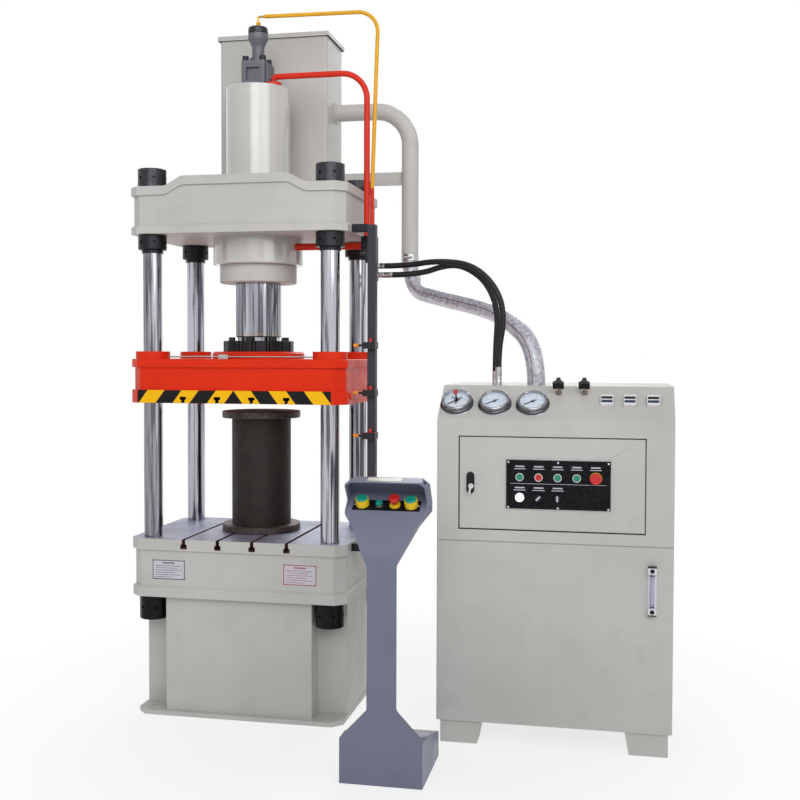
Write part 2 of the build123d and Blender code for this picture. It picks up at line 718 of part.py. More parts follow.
def rod_clamp_ring():
    ring = rod(CLAMP_RING_DIAMETER, SLIDE_PAD_TOP, RING_TOP)
    ring -= rod(RAM_NECK_DIAMETER + 2 * FIXED_FIT, SLIDE_PAD_TOP, RING_TOP)
    flute = rod(CLAMP_FLUTE_DIAMETER, SLIDE_PAD_TOP, RING_TOP, CLAMP_RING_DIAMETER / 2)
    step = 360 / CLAMP_FLUTES
    ring -= [Rot(0, 0, (turn + 0.5) * step) * flute for turn in range(CLAMP_FLUTES)]
    head = socket_head(CLAMP_BOLT_HEAD, CLAMP_BOLT_HEIGHT, CLAMP_BOLT_CIRCLE / 2, 0, RING_TOP)
    heads = [Rot(0, 0, turn * 360 / CLAMP_BOLTS) * head for turn in range(CLAMP_BOLTS)]
    return ring + heads


# Slide

def slide():
    low = beam_slab(SLIDE_BOTTOM, SLIDE_BOTTOM + SLIDE_LOW_FLANGE)
    web = beam_slab(SLIDE_BOTTOM, SLIDE_TOP, BEAM_RECESS)
    rim = beam_slab(SLIDE_TOP - SLIDE_TOP_FLANGE, SLIDE_TOP)
    rim = chamfer(rim.faces().sort_by(Axis.Z)[-1].edges(), BEAM_EDGE)
    bosses = column_bores(SLIDE_BOSS_DIAMETER, SLIDE_TOP, SLIDE_PAD_TOP)
    pad = rod(SLIDE_PAD_DIAMETER, SLIDE_TOP, SLIDE_PAD_TOP)
    pad = chamfer(pad.edges().group_by(Axis.Z)[-1], BEAM_BEVEL)
    body = low + web + rim + bosses + pad
    body -= column_bores(BUSHING_DIAMETER + 2 * FIXED_FIT, SLIDE_BOTTOM, SLIDE_PAD_TOP)
    body -= t_slots(SLIDE_BOTTOM, SLIDE_SLOT_NECK_DEPTH, SLIDE_SLOT_HEAD_DEPTH, 1)
    striker = Pos(BEAM_SIDE + STRIKER_LENGTH / 2, sensor_line_y(), SLIDE_BOTTOM + STRIKER_RISE)
    return body + striker * Rot(0, 90, 0) * Cylinder(STRIKER_DIAMETER / 2, STRIKER_LENGTH)


def slide_bushings():
    bottom = SLIDE_BOTTOM + BUSHING_SETBACK
    top = SLIDE_PAD_TOP - BUSHING_SETBACK
    bushing = rod(BUSHING_DIAMETER, bottom, top) - rod(COLUMN_DIAMETER + 2 * RUNNING_FIT, bottom, top)
    return Compound([Pos(x, y) * bushing for x, y in COLUMN_PLACES])


def grease_tubes():
    """Distributor block on the slide and its four tubes to the bosses."""
    column_x, column_y = COLUMN_SPAN_X / 2, COLUMN_SPAN_Y / 2
    level = SLIDE_TOP + GREASE_BLOCK_DEPTH / 2
    front, back = -column_y, GREASE_LINE_GAP - column_y
    middle = (front + back) / 2
    x0, x1 = GREASE_BLOCK_X - GREASE_BLOCK_LENGTH / 2, GREASE_BLOCK_X + GREASE_BLOCK_LENGTH / 2
    y0, y1 = middle - GREASE_BLOCK_DEPTH / 2, middle + GREASE_BLOCK_DEPTH / 2
    body = block(x0, x1, y0, y1, SLIDE_TOP, SLIDE_TOP + GREASE_BLOCK_DEPTH)
    for side, end in ((-1, x0), (1, x1)):
        boss = side * (column_x - SLIDE_BOSS_DIAMETER / 2)
        straight = Pos((end + boss) / 2, front, level) * Rot(0, 90, 0)
        body += straight * Cylinder(GREASE_TUBE / 2, abs(boss - end))
        route = [
            (end, back, level),
            (side * GREASE_SIDE_X, back, level),
            (side * GREASE_SIDE_X, column_y, level),
            (boss, column_y, level),
        ]
        body += bent_tube(route, GREASE_BEND, GREASE_TUBE)
    return body


# Filling valve and rigid pipes

def valve_block():
    half_width, half_depth = VALVE_WIDTH / 2, VALVE_DEPTH / 2
    body = block(-half_width, half_width, -half_depth, half_depth, BARREL_TOP, VALVE_TOP)
    body = fillet(body.edges().filter_by(Axis.Z), VALVE_SIDE_PLATE / 2)
    middle = (BARREL_TOP + VALVE_TOP) / 2
    window = block(
        -VALVE_WINDOW_WIDTH / 2,
        VALVE_WINDOW_WIDTH / 2,
        -half_depth,
        VALVE_WINDOW_DEPTH - half_depth,
        middle - VALVE_WINDOW_HEIGHT / 2,
        middle + VALVE_WINDOW_HEIGHT / 2,
    )
    side = block(
        half_width,
        half_width + VALVE_SIDE_PLATE,
        -VALVE_BOLT_SPACING / 2,
        VALVE_BOLT_SPACING / 2,
        BARREL_TOP + 2 * VALVE_SIDE_PLATE,
        VALVE_TOP - VALVE_SIDE_PLATE,
    )
    return Pos(VALVE_SHIFT, 0) * (body - window + side)


def valve_bonnet():
    neck, cap = BONNET_NECK_DIAMETER / 2, BONNET_CAP_DIAMETER / 2
    groove_top = (BONNET_TOP + BONNET_CONE_TOP) / 2
    outline = Polygon(
        (0, VALVE_TOP),
        (BONNET_COLLAR_DIAMETER / 2, VALVE_TOP),
        (BONNET_COLLAR_DIAMETER / 2, VALVE_TOP + BONNET_COLLAR_HEIGHT),
        (neck, VALVE_TOP + BONNET_COLLAR_HEIGHT),
        (neck, BONNET_NECK_TOP),
        (cap, BONNET_CONE_TOP),
        (cap, groove_top - BONNET_GROOVE_HEIGHT),
        (cap - BONNET_GROOVE_DEPTH, groove_top - BONNET_GROOVE_HEIGHT),
        (cap - BONNET_GROOVE_DEPTH, groove_top),
        (cap, groove_top),
        (cap, BONNET_TOP - BONNET_CROWN_HEIGHT),
        (BONNET_CROWN_DIAMETER / 2, BONNET_TOP),
        (0, BONNET_TOP),
        align=None,
    )
    return revolve(Plane.XZ * outline, Axis.Z)


def socket_bolts():
    """Cap screws of the filling valve and of the pressure pipe's flange."""
    reach = VALVE_BOLT_SPACING / 2
    heads = [
        socket_head(VALVE_BOLT_HEAD, VALVE_BOLT_HEIGHT, x, y, VALVE_TOP)
        for x in (VALVE_SHIFT - reach, VALVE_SHIFT + reach)
        for y in (-reach, reach)
    ]
    flange_top = BARREL_TOP + PRESSURE_FLANGE_HEIGHT
    for side in (-1, 1):
        y = PIPE_PLANE_Y + side * PRESSURE_BOLT_SPACING / 2
        heads.append(
            rod(PRESSURE_BOLT_HEAD, flange_top, flange_top + PRESSURE_BOLT_HEIGHT, PRESSURE_FLANGE_X, y)
        )
    return Compound(heads)


def pilot_joint():
    """Point where the stub meets the pilot pipe, on the straight line to the pipe's corner."""
    top = Vector(0, 0, PILOT_LEVEL)
    return top + (Vector(*PILOT_CORNER) - top).normalized() * PILOT_STUB_RUN


def pilot_fitting():
    """Hexagon nut on the bonnet and the thin stub that turns towards the pilot pipe."""
    nut = Pos(0, 0, BONNET_TOP) * extrude(RegularPolygon(PILOT_NUT_SIZE / 2, 6), PILOT_NUT_HEIGHT)
    start = (0, 0, BONNET_TOP + PILOT_NUT_HEIGHT)
    stub = bent_tube(
        [start, (0, 0, PILOT_LEVEL), pilot_joint()],
        PILOT_STUB_DIAMETER,
        PILOT_STUB_DIAMETER,
    )
    return nut + stub


def pilot_pipe():
    route = [
        pilot_joint(),
        PILOT_CORNER,
        (PILOT_DROP_X, PIPE_PLANE_Y, PILOT_JOINT_LEVEL),
        (PILOT_DROP_X, PIPE_PLANE_Y, MANIFOLD_TOP),
    ]
    return bent_tube(route, [PILOT_BEND, PILOT_JOINT_BEND], PILOT_PIPE_DIAMETER)


def pressure_pipe():
    start = BARREL_TOP + PRESSURE_FLANGE_HEIGHT
    flange = rod(PRESSURE_FLANGE_DIAMETER, BARREL_TOP, start, PRESSURE_FLANGE_X, PIPE_PLANE_Y)
    route = [
        (PRESSURE_FLANGE_X, PIPE_PLANE_Y, start),
        (PRESSURE_FLANGE_X, PIPE_PLANE_Y, PRESSURE_PIPE_LEVEL),
        (PRESSURE_DROP_X, PIPE_PLANE_Y, PRESSURE_PIPE_LEVEL),
        (PRESSURE_DROP_X, PIPE_PLANE_Y, MANIFOLD_TOP),
    ]
    return flange + bent_tube(route, [PRESSURE_ELBOW, PRESSURE_BEND], PRESSURE_PIPE_DIAMETER)


def return_pipe():
    """Pipe from the cylinder's lower chamber to the manifold, trimmed to the round flange."""
    radius = RETURN_PIPE_DIAMETER / 2
    axis_point = Pos(MANIFOLD_LEFT / 2, PIPE_PLANE_Y, RETURN_PIPE_LEVEL)
    pipe = axis_point * Rot(0, 90, 0) * Cylinder(radius, MANIFOLD_LEFT)
    return pipe - rod(CYLINDER_FLANGE_DIAMETER, CYLINDER_FLANGE_BOTTOM, CROWN_BOTTOM)


def hose_manifold():
    front, back = PIPE_PLANE_Y - MANIFOLD_DEPTH / 2, PIPE_PLANE_Y + MANIFOLD_DEPTH / 2
    rail_back = RAIL_Y + RAIL_SIZE / 2
    header = block(MANIFOLD_LEFT, MANIFOLD_RIGHT, front, back, MANIFOLD_HEADER_BOTTOM, MANIFOLD_TOP)
    body = block(MANIFOLD_BODY_LEFT, MANIFOLD_RIGHT, front, back, MANIFOLD_BOTTOM, MANIFOLD_TOP)
    tongue_bottom = MANIFOLD_HEADER_BOTTOM - MANIFOLD_TONGUE_HEIGHT
    tongue = block(MANIFOLD_TONGUE_LEFT, RAIL_X, rail_back, front, tongue_bottom, MANIFOLD_HEADER_BOTTOM)
    return header + body + tongue


# Switch rail and sensors

def switch_rail():
    half = RAIL_SIZE / 2
    outline = Rectangle(RAIL_SIZE, RAIL_SIZE) - Rectangle(RAIL_SIZE - 2 * RAIL_WALL, RAIL_SIZE - 2 * RAIL_WALL)
    rail = Pos(RAIL_X, RAIL_Y, RAIL_BOTTOM) * extrude(outline, amount=RAIL_TOP - RAIL_BOTTOM)
    for level in (RAIL_TOP_ARM, RAIL_LOW_ARM):
        rail += block(
            BEAM_SIDE,
            RAIL_X - half,
            RAIL_Y - RAIL_ARM_DEPTH / 2,
            RAIL_Y + RAIL_ARM_DEPTH / 2,
            level - RAIL_ARM_HEIGHT / 2,
            level + RAIL_ARM_HEIGHT / 2,
        )
    return rail


def sensor_line_y():
    """Distance of the sensors' axes in front of the press's middle plane."""
    return RAIL_FRONT - SENSOR_DEPTH / 2


def position_sensor(level):
    """Clamp that slides on the rail, its switch pointing at the slide, and its clamping knob."""
    half = RAIL_SIZE / 2 + RUNNING_FIT
    low, high = level - SENSOR_HEIGHT / 2, level + SENSOR_HEIGHT / 2
    front = RAIL_FRONT - RUNNING_FIT
    left = RAIL_X - half - SENSOR_JAW
    body = block(left - SENSOR_REACH, RAIL_X + half + SENSOR_JAW, front - SENSOR_DEPTH, front, low, high)
    body = fillet(body.edges().filter_by(Axis.Y), BEAM_EDGE)
    for x0 in (left, RAIL_X + half):
        body += block(x0, x0 + SENSOR_JAW, front, front + SENSOR_DEPTH, low, high)
    tip_start = BEAM_SIDE + SENSOR_TIP_GAP
    probe_start = left - SENSOR_REACH - SENSOR_PROBE_LENGTH
    for diameter, start, end in (
        (SENSOR_TIP_DIAMETER, tip_start, probe_start),
        (SENSOR_PROBE_DIAMETER, probe_start, left - SENSOR_REACH),
    ):
        centre = Pos((start + end) / 2, sensor_line_y(), level) * Rot(0, 90, 0)
        body += centre * Cylinder(diameter / 2, end - start)
    return body + rod(SENSOR_KNOB_DIAMETER, high, high + SENSOR_KNOB_HEIGHT, RAIL_X, sensor_line_y())


# Oil tank and filling pipe

def oil_tank():
    half = TANK_WIDTH / 2
    back = TANK_FRONT + TANK_DEPTH
    tank = block(-half, half, TANK_FRONT, back, CROWN_TOP, TANK_TOP)
    tank = fillet(tank.edges().filter_by(Axis.Z), TANK_CORNER)
    lid = block(
        -half - LID_OVERHANG,
        half + LID_OVERHANG,
        TANK_FRONT - LID_OVERHANG,
        back + LID_OVERHANG,
        TANK_TOP,
        TANK_TOP + LID_THICKNESS,
    )
    return tank + chamfer(lid.faces().sort_by(Axis.Z)[-1].edges(), LID_EDGE)


def fill_pipe():
    """Pipe that leaves the tank's side, turns down and hangs from an angle stay."""
    wall = TANK_WIDTH / 2
    route = [
        (wall, FILL_PIPE_Y, FILL_PIPE_LEVEL),
        (FILL_PIPE_X, FILL_PIPE_Y, FILL_PIPE_LEVEL),
        (FILL_PIPE_X, FILL_PIPE_Y, FILL_PIPE_END),
    ]
    pipe = bent_tube(route, FILL_PIPE_BEND, FILL_PIPE_DIAMETER)
    collar = Pos(wall + FILL_COLLAR_WIDTH / 2, FILL_PIPE_Y, FILL_PIPE_LEVEL) * Rot(0, 90, 0)
    pipe += collar * Cylinder(FILL_COLLAR_DIAMETER / 2, FILL_COLLAR_WIDTH)
    low = STAY_LEVEL - STAY_HEIGHT / 2
    web = block(wall, FILL_PIPE_X, FILL_PIPE_Y, FILL_PIPE_Y + STAY_THICKNESS, low, low + STAY_HEIGHT)
    ledge = block(
        wall, FILL_PIPE_X, FILL_PIPE_Y, FILL_PIPE_Y + STAY_DEPTH, low, low + STAY_THICKNESS
    )
    return pipe + web + ledge


def hose_clamp():
    """Worm-drive band round the top of the suction hose."""
    outside = SUCTION_HOSE_DIAMETER + 2 * FIXED_FIT
    high = FILL_PIPE_END - CLAMP_BAND_THICKNESS
    low = high - CLAMP_BAND_WIDTH
    band = rod(outside + 2 * CLAMP_BAND_THICKNESS, low, high) - rod(outside, low, high)
    middle = (low + high) / 2
    housing = Pos(0, -outside / 2 - CLAMP_SCREW_DIAMETER / 2, middle) * Rot(0, 90, 0)
    band += housing * Cylinder(CLAMP_SCREW_DIAMETER / 2, CLAMP_SCREW_LENGTH)
    return Pos(FILL_PIPE_X, FILL_PIPE_Y) * (band - rod(outside, low, high))


# Hoses

def hang(middle, upper_level):
    """Points between a hose's upper end and the cabinet's top, from their shares of that height."""
    return [(x, y, CABINET_TOP + share * (upper_level - CABINET_TOP)) for x, y, share in middle]


def hose_routes():
    """Points of the three hoses, each from its upper end to the cabinet."""
    suction_x, suction_y = SUCTION_HOSE_FOOT
    suction = [(FILL_PIPE_X, FILL_PIPE_Y, FILL_PIPE_END)]
    suction += hang(SUCTION_HOSE_MIDDLE, FILL_PIPE_END)
    suction += [(suction_x, suction_y, CABINET_TOP)]
    upper = [(MANIFOLD_RIGHT + FERRULE_UPPER_LENGTH, PIPE_PLANE_Y, HOSE_UPPER_LEVEL)]
    upper += hang(UPPER_HOSE_MIDDLE, HOSE_UPPER_LEVEL)
    upper += [(*UPPER_HOSE_FOOT, CABINET_TOP + FERRULE_UPPER_HEIGHT)]
    lower = [(MANIFOLD_RIGHT + FERRULE_LOWER_LENGTH, PIPE_PLANE_Y, HOSE_LOWER_LEVEL)]
    lower += hang(LOWER_HOSE_MIDDLE, HOSE_LOWER_LEVEL)
    lower += [(*LOWER_HOSE_FOOT, CABINET_TOP + FERRULE_LOWER_HEIGHT)]
    return {
        "suction_hose": (suction, SUCTION_HOSE_DIAMETER),
        "pressure_hose_upper": (upper, PRESSURE_HOSE_DIAMETER),
        "pressure_hose_lower": (lower, PRESSURE_HOSE_DIAMETER),
    }


def hose_ferrules():
    """Crimped hose ends: two at the manifold and two on the cabinet's top."""
    ends = []
    for level, length in (
        (HOSE_UPPER_LEVEL, FERRULE_UPPER_LENGTH),
        (HOSE_LOWER_LEVEL, FERRULE_LOWER_LENGTH),
    ):
        place = Pos(MANIFOLD_RIGHT + length / 2, PIPE_PLANE_Y, level) * Rot(0, 90, 0)
        ends.append(place * Cylinder(FERRULE_DIAMETER / 2, length))
    for (x, y), height in (
        (UPPER_HOSE_FOOT, FERRULE_UPPER_HEIGHT),
        (LOWER_HOSE_FOOT, FERRULE_LOWER_HEIGHT),
    ):
        ends.append(rod(FERRULE_DIAMETER, CABINET_TOP, CABINET_TOP + height, x, y))
    return Compound(ends)


# Spacer post

def support_post():
    top = BED_TOP + POST_HEIGHT
    post = rod(POST_DIAMETER, BED_TOP, top)
    for z in (BED_TOP, top - POST_FLANGE_THICKNESS):
        flange = rod(POST_FLANGE_DIAMETER, z, z + POST_FLANGE_THICKNESS)
        post += chamfer(flange.edges().filter_by(GeomType.CIRCLE), POST_EDGE)
    return Pos(0, POST_Y) * post


# Power cabinet, drawn about its own middle and then moved to its place

def cabinet_place(shape):
    return Pos(CABINET_X, CABINET_FRONT) * shape


def slope_place(x, s):
    """Frame on the sloping console: its Z is the console's outward normal and its Y runs up the slope."""
    run, rise = cos(radians(SLOPE_ANGLE)), sin(radians(SLOPE_ANGLE))
    return Pos(x, s * run, CABINET_BEND + s * rise) * Rot(SLOPE_ANGLE, 0, 0)


def door_opening(reveal, y0, y1):
    """Box as large as the door plus a reveal on every side."""
    half_width, half_height = DOOR_WIDTH / 2 + reveal, DOOR_HEIGHT / 2 + reveal
    return block(
        DOOR_X - half_width, DOOR_X + half_width, y0, y1, DOOR_Z - half_height, DOOR_Z + half_height
    )


def valve_stem_frames():
    return [slope_place(x, VALVE_KNOB_S) for x in VALVE_KNOB_X]


def console_housing():
    half = CABINET_WIDTH / 2
    base = CABINET_SEAM + CABINET_SEAM_GAP
    outline = [
        (0, base),
        (0, CABINET_BEND),
        (CABINET_SLOPE_RUN, CABINET_TOP),
        (CABINET_DEPTH, CABINET_TOP),
        (CABINET_DEPTH, base),
    ]
    body = side_outline(outline, -half, half)
    body = fillet(body.edges().filter_by(Axis.Z), CABINET_EDGE)
    seam = CABINET_SEAM_GAP
    body += block(-half + seam, half - seam, seam, CABINET_DEPTH - seam, CABINET_SEAM, base)
    recess = DOOR_THICKNESS + SOFT_GAP
    body -= door_opening(DOOR_GAP, 0, recess)
    body -= door_opening(-DOOR_REBATE, recess, recess + BOX_DEPTH)
    for frame in valve_stem_frames():
        nut = extrude(RegularPolygon(VALVE_NUT_SIZE / 2, 6), VALVE_NUT_HEIGHT)
        stem = rod(VALVE_STEM_DIAMETER, 0, VALVE_STEM_HEIGHT + VALVE_KNOB_HEIGHT / 2)
        body += frame * (nut + stem)
    return cabinet_place(body)


def oil_reservoir():
    half = CABINET_WIDTH / 2
    body = block(-half, half, 0, CABINET_DEPTH, CABINET_FLOOR_GAP, CABINET_SEAM)
    return cabinet_place(fillet(body.edges().filter_by(Axis.Z), CABINET_EDGE))


def cabinet_feet():
    """Four sheet-metal feet whose inner edges lean outwards."""
    outer = CABINET_WIDTH / 2 - FOOT_PAD_INSET
    outline = [
        (-outer, 0),
        (-outer, CABINET_FLOOR_GAP),
        (-outer + FOOT_TOP_WIDTH, CABINET_FLOOR_GAP),
        (-outer + FOOT_LOW_WIDTH, 0),
    ]
    feet = []
    for y in (FOOT_PAD_SETBACK, CABINET_DEPTH - FOOT_PAD_SETBACK - FOOT_PAD_DEPTH):
        foot = front_outline(outline, y, y + FOOT_PAD_DEPTH)
        feet += [foot, mirror(foot, Plane.YZ)]
    return cabinet_place(Compound(feet))


def cabinet_door():
    half_width, half_height = DOOR_WIDTH / 2, DOOR_HEIGHT / 2
    door = block(
        DOOR_X - half_width,
        DOOR_X + half_width,
        0,
        DOOR_THICKNESS,
        DOOR_Z - half_height,
        DOOR_Z + half_height,
    )
    door = chamfer(door.faces().sort_by(Axis.Y)[0].edges(), DOOR_EDGE)
    return cabinet_place(door - stem_holes(door_stations(), -DOOR_THICKNESS, 0))


def front_disc(diameter, x, z, out0, out1):
    """Cylinder standing out of the cabinet's front, between two distances from it."""
    place = Pos(x, -(out0 + out1) / 2, z) * Rot(90, 0, 0)
    return place * Cylinder(diameter / 2, out1 - out0)


def door_stations():
    """Panel controls and the lock's spindle."""
    return panel_stations() + [(LOCK_X, DOOR_Z + LOCK_PIVOT_DROP)]


def panel_stations():
    """Every control whose stem passes through the panel and the door."""
    row = [(x, BUTTON_ROW_Z) for x in (*BUTTON_X, EMERGENCY_X)]
    return row + [(x, SELECTOR_ROW_Z) for x in SELECTOR_X]


def stem_holes(stations, out0, out1):
    """Running-fit holes for control stems between two distances from the front."""
    return [front_disc(STEM_DIAMETER + 2 * RUNNING_FIT, x, z, out0, out1) for x, z in stations]


def door_lock():
    """Long black plate with its lever, which turn together about the lock's spindle."""
    pivot_z = DOOR_Z + LOCK_PIVOT_DROP
    plate = Pos(LOCK_X, -SOFT_GAP, DOOR_Z) * Rot(90, 0, 0) * extrude(
        SlotOverall(LOCK_LENGTH, LOCK_WIDTH, rotation=90), LOCK_THICKNESS
    )
    lever_z = pivot_z - LOCK_LEVER_LENGTH / 2 + LOCK_LEVER_WIDTH / 2
    lever = Pos(LOCK_X, -LOCK_THICKNESS - SOFT_GAP, lever_z) * Rot(90, 0, 0) * extrude(
        SlotOverall(LOCK_LEVER_LENGTH, LOCK_LEVER_WIDTH, rotation=90), LOCK_LEVER_HEIGHT
    )
    return cabinet_place(plate + lever + stem(LOCK_X, pivot_z, SOFT_GAP))


def control_panel():
    """Black plate with the bezels of its controls and the lamp's lens."""
    half_width, half_height = PANEL_WIDTH / 2, PANEL_HEIGHT / 2
    panel = block(
        PANEL_X - half_width,
        PANEL_X + half_width,
        -PANEL_THICKNESS,
        0,
        PANEL_Z - half_height,
        PANEL_Z + half_height,
    )
    face = PANEL_THICKNESS
    for x in BUTTON_X:
        ring = front_disc(BEZEL_DIAMETER, x, BUTTON_ROW_Z, face, face + BEZEL_HEIGHT)
        opening = BEZEL_DIAMETER - 2 * BEZEL_WALL
        panel += ring - front_disc(opening, x, BUTTON_ROW_Z, face, face + BEZEL_HEIGHT)
    panel += front_disc(EMERGENCY_RING, EMERGENCY_X, BUTTON_ROW_Z, face, face + PANEL_THICKNESS)
    for x in SELECTOR_X:
        panel += front_disc(BEZEL_DIAMETER, x, SELECTOR_ROW_Z, face, face + PANEL_THICKNESS)
    lens = front_disc(LAMP_DIAMETER, LAMP_X, SELECTOR_ROW_Z, face, face + LAMP_HEIGHT)
    panel += fillet(lens.edges().sort_by(Axis.Y)[0], BEZEL_WALL)
    return cabinet_place(panel - stem_holes(panel_stations(), 0, 2 * face))


def stem(x, z, out1):
    """Control stem from inside the electrical box to a distance in front of the door."""
    return front_disc(STEM_DIAMETER, x, z, -STEM_LENGTH, out1)


def push_button(x):
    back = PANEL_THICKNESS + BUTTON_LIFT + PANEL_THICKNESS / 2
    front = PANEL_THICKNESS + BEZEL_HEIGHT + BUTTON_PROUD
    cap = front_disc(BEZEL_DIAMETER - 2 * BEZEL_WALL - 2 * SOFT_GAP, x, BUTTON_ROW_Z, back, front)
    cap = chamfer(cap.edges().sort_by(Axis.Y)[0], BUTTON_PROUD / 3)
    return cabinet_place(cap + stem(x, BUTTON_ROW_Z, back))


def emergency_stop():
    back = 2 * PANEL_THICKNESS + EMERGENCY_LIFT
    front = back + EMERGENCY_HEIGHT
    head = front_disc(EMERGENCY_DIAMETER, EMERGENCY_X, BUTTON_ROW_Z, back, front)
    head = fillet(head.edges().sort_by(Axis.Y)[0], EMERGENCY_HEIGHT / 3)
    return cabinet_place(head + stem(EMERGENCY_X, BUTTON_ROW_Z, back))


def selector(x, rest):
    """Knob with its bar, turned clockwise by its rest angle as seen from the front."""
    back = 2 * PANEL_THICKNESS + SOFT_GAP
    front = back + SELECTOR_HEIGHT
    knob = front_disc(SELECTOR_DIAMETER, x, SELECTOR_ROW_Z, back, front)
    bar = Pos(x, -front - SELECTOR_BAR_HEIGHT / 2, SELECTOR_ROW_Z) * Rot(0, rest, 0)
    knob += bar * Box(SELECTOR_BAR, SELECTOR_BAR_HEIGHT, SELECTOR_DIAMETER - BEAM_EDGE)
    return cabinet_place(knob + stem(x, SELECTOR_ROW_Z, back))


def gauge_cases():
    """Three panel gauges; each has a flange, a case, a sunk dial and a pivot for its needle."""
    flange = rod(GAUGE_FLANGE_DIAMETER, 0, GAUGE_FLANGE_THICKNESS)
    flange = chamfer(flange.edges().group_by(Axis.Z)[-1], PANEL_THICKNESS / 2)
    case = rod(GAUGE_CASE_DIAMETER, 0, GAUGE_CASE_HEIGHT)
    case = chamfer(case.edges().group_by(Axis.Z)[-1], PANEL_THICKNESS)
    dial = GAUGE_CASE_HEIGHT - GAUGE_DIAL_DEPTH
    pivot = rod(GAUGE_PIVOT_DIAMETER, dial, dial + 2 * NEEDLE_LIFT + NEEDLE_THICKNESS)
    gauge = flange + case - rod(GAUGE_DIAL_DIAMETER, dial, GAUGE_CASE_HEIGHT) + pivot
    return cabinet_place(Compound([slope_place(x, GAUGE_S) * gauge for x in GAUGE_X]))


def gauge_needle(x):
    level = GAUGE_CASE_HEIGHT - GAUGE_DIAL_DEPTH + NEEDLE_LIFT
    blade = Pos((NEEDLE_LENGTH - NEEDLE_TAIL) / 2, 0) * Rectangle(NEEDLE_LENGTH + NEEDLE_TAIL, NEEDLE_WIDTH)
    outline = blade + Circle(NEEDLE_HUB_DIAMETER / 2) - Circle(GAUGE_PIVOT_DIAMETER / 2 + RUNNING_FIT)
    needle = Pos(0, 0, level) * extrude(outline, NEEDLE_THICKNESS)
    return cabinet_place(slope_place(x, GAUGE_S) * Rot(0, 0, NEEDLE_REST) * needle)


def valve_knob(x):
    """Knob with three lobes on the stem of a needle valve."""
    top = VALVE_STEM_HEIGHT + VALVE_KNOB_HEIGHT
    knob = rod(VALVE_HUB_DIAMETER, VALVE_STEM_HEIGHT, top)
    reach = (VALVE_KNOB_DIAMETER - VALVE_LOBE_DIAMETER) / 2
    lobe = rod(VALVE_LOBE_DIAMETER, VALVE_STEM_HEIGHT, top, reach)
    knob += [Rot(0, 0, 90 + turn * 360 / VALVE_KNOB_LOBES) * lobe for turn in range(VALVE_KNOB_LOBES)]
    socket = VALVE_STEM_HEIGHT + VALVE_KNOB_HEIGHT / 2 + SOFT_GAP
    knob -= rod(VALVE_STEM_DIAMETER + 2 * RUNNING_FIT, VALVE_STEM_HEIGHT, socket)
    return cabinet_place(slope_place(x, VALVE_KNOB_S) * knob)


def indicator_blocks():
    """Three square indicators, each with two dark windows."""
    body = Pos(0, 0, INDICATOR_THICKNESS / 2) * Box(INDICATOR_WIDTH, INDICATOR_HEIGHT, INDICATOR_THICKNESS)
    body = chamfer(body.faces().sort_by(Axis.Z)[-1].edges(), PANEL_THICKNESS / 2)
    for side in (-1, 1):
        window = Box(INDICATOR_WINDOW, INDICATOR_WINDOW_HEIGHT, 2 * INDICATOR_WINDOW_DEPTH)
        body -= Pos(0, side * INDICATOR_WINDOW_HEIGHT, INDICATOR_THICKNESS) * window
    return cabinet_place(Compound([slope_place(x, INDICATOR_S) * body for x in INDICATOR_X]))


def oil_level_gauge():
    """Sight gauge on the reservoir: two end blocks, a backing strip and the tube between them."""
    half_width, half_length = LEVEL_WIDTH / 2, LEVEL_LENGTH / 2
    body = block(-half_width, half_width, -PANEL_THICKNESS, 0, -half_length, half_length)
    for z0 in (-half_length, half_length - LEVEL_END):
        body += block(-half_width, half_width, -LEVEL_DEPTH, 0, z0, z0 + LEVEL_END)
    body += Pos(0, -LEVEL_DEPTH / 2, 0) * Cylinder(LEVEL_TUBE / 2, LEVEL_LENGTH - 2 * LEVEL_END)
    return cabinet_place(Pos(LEVEL_X, 0, LEVEL_Z) * body)


# Control stand, drawn about the middle of its front and then moved to its place

def stand_place(shape):
    return Pos(STAND_X, STAND_FRONT) * shape


def up_console(distance):
    """Depth and height of a line on the stand's console, at that distance above the console's front edge."""
    slope = radians(STAND_CONSOLE_SLOPE)
    return STAND_CONSOLE_Y + distance * cos(slope), STAND_CONSOLE_Z + distance * sin(slope)


def console_frame(x):
    """Frame in the middle of the strip on the stand's console: its Z is the outward normal."""
    y, z = up_console(STAND_STRIP_RISE)
    return Pos(x, y, z) * Rot(STAND_CONSOLE_SLOPE, 0, 0)


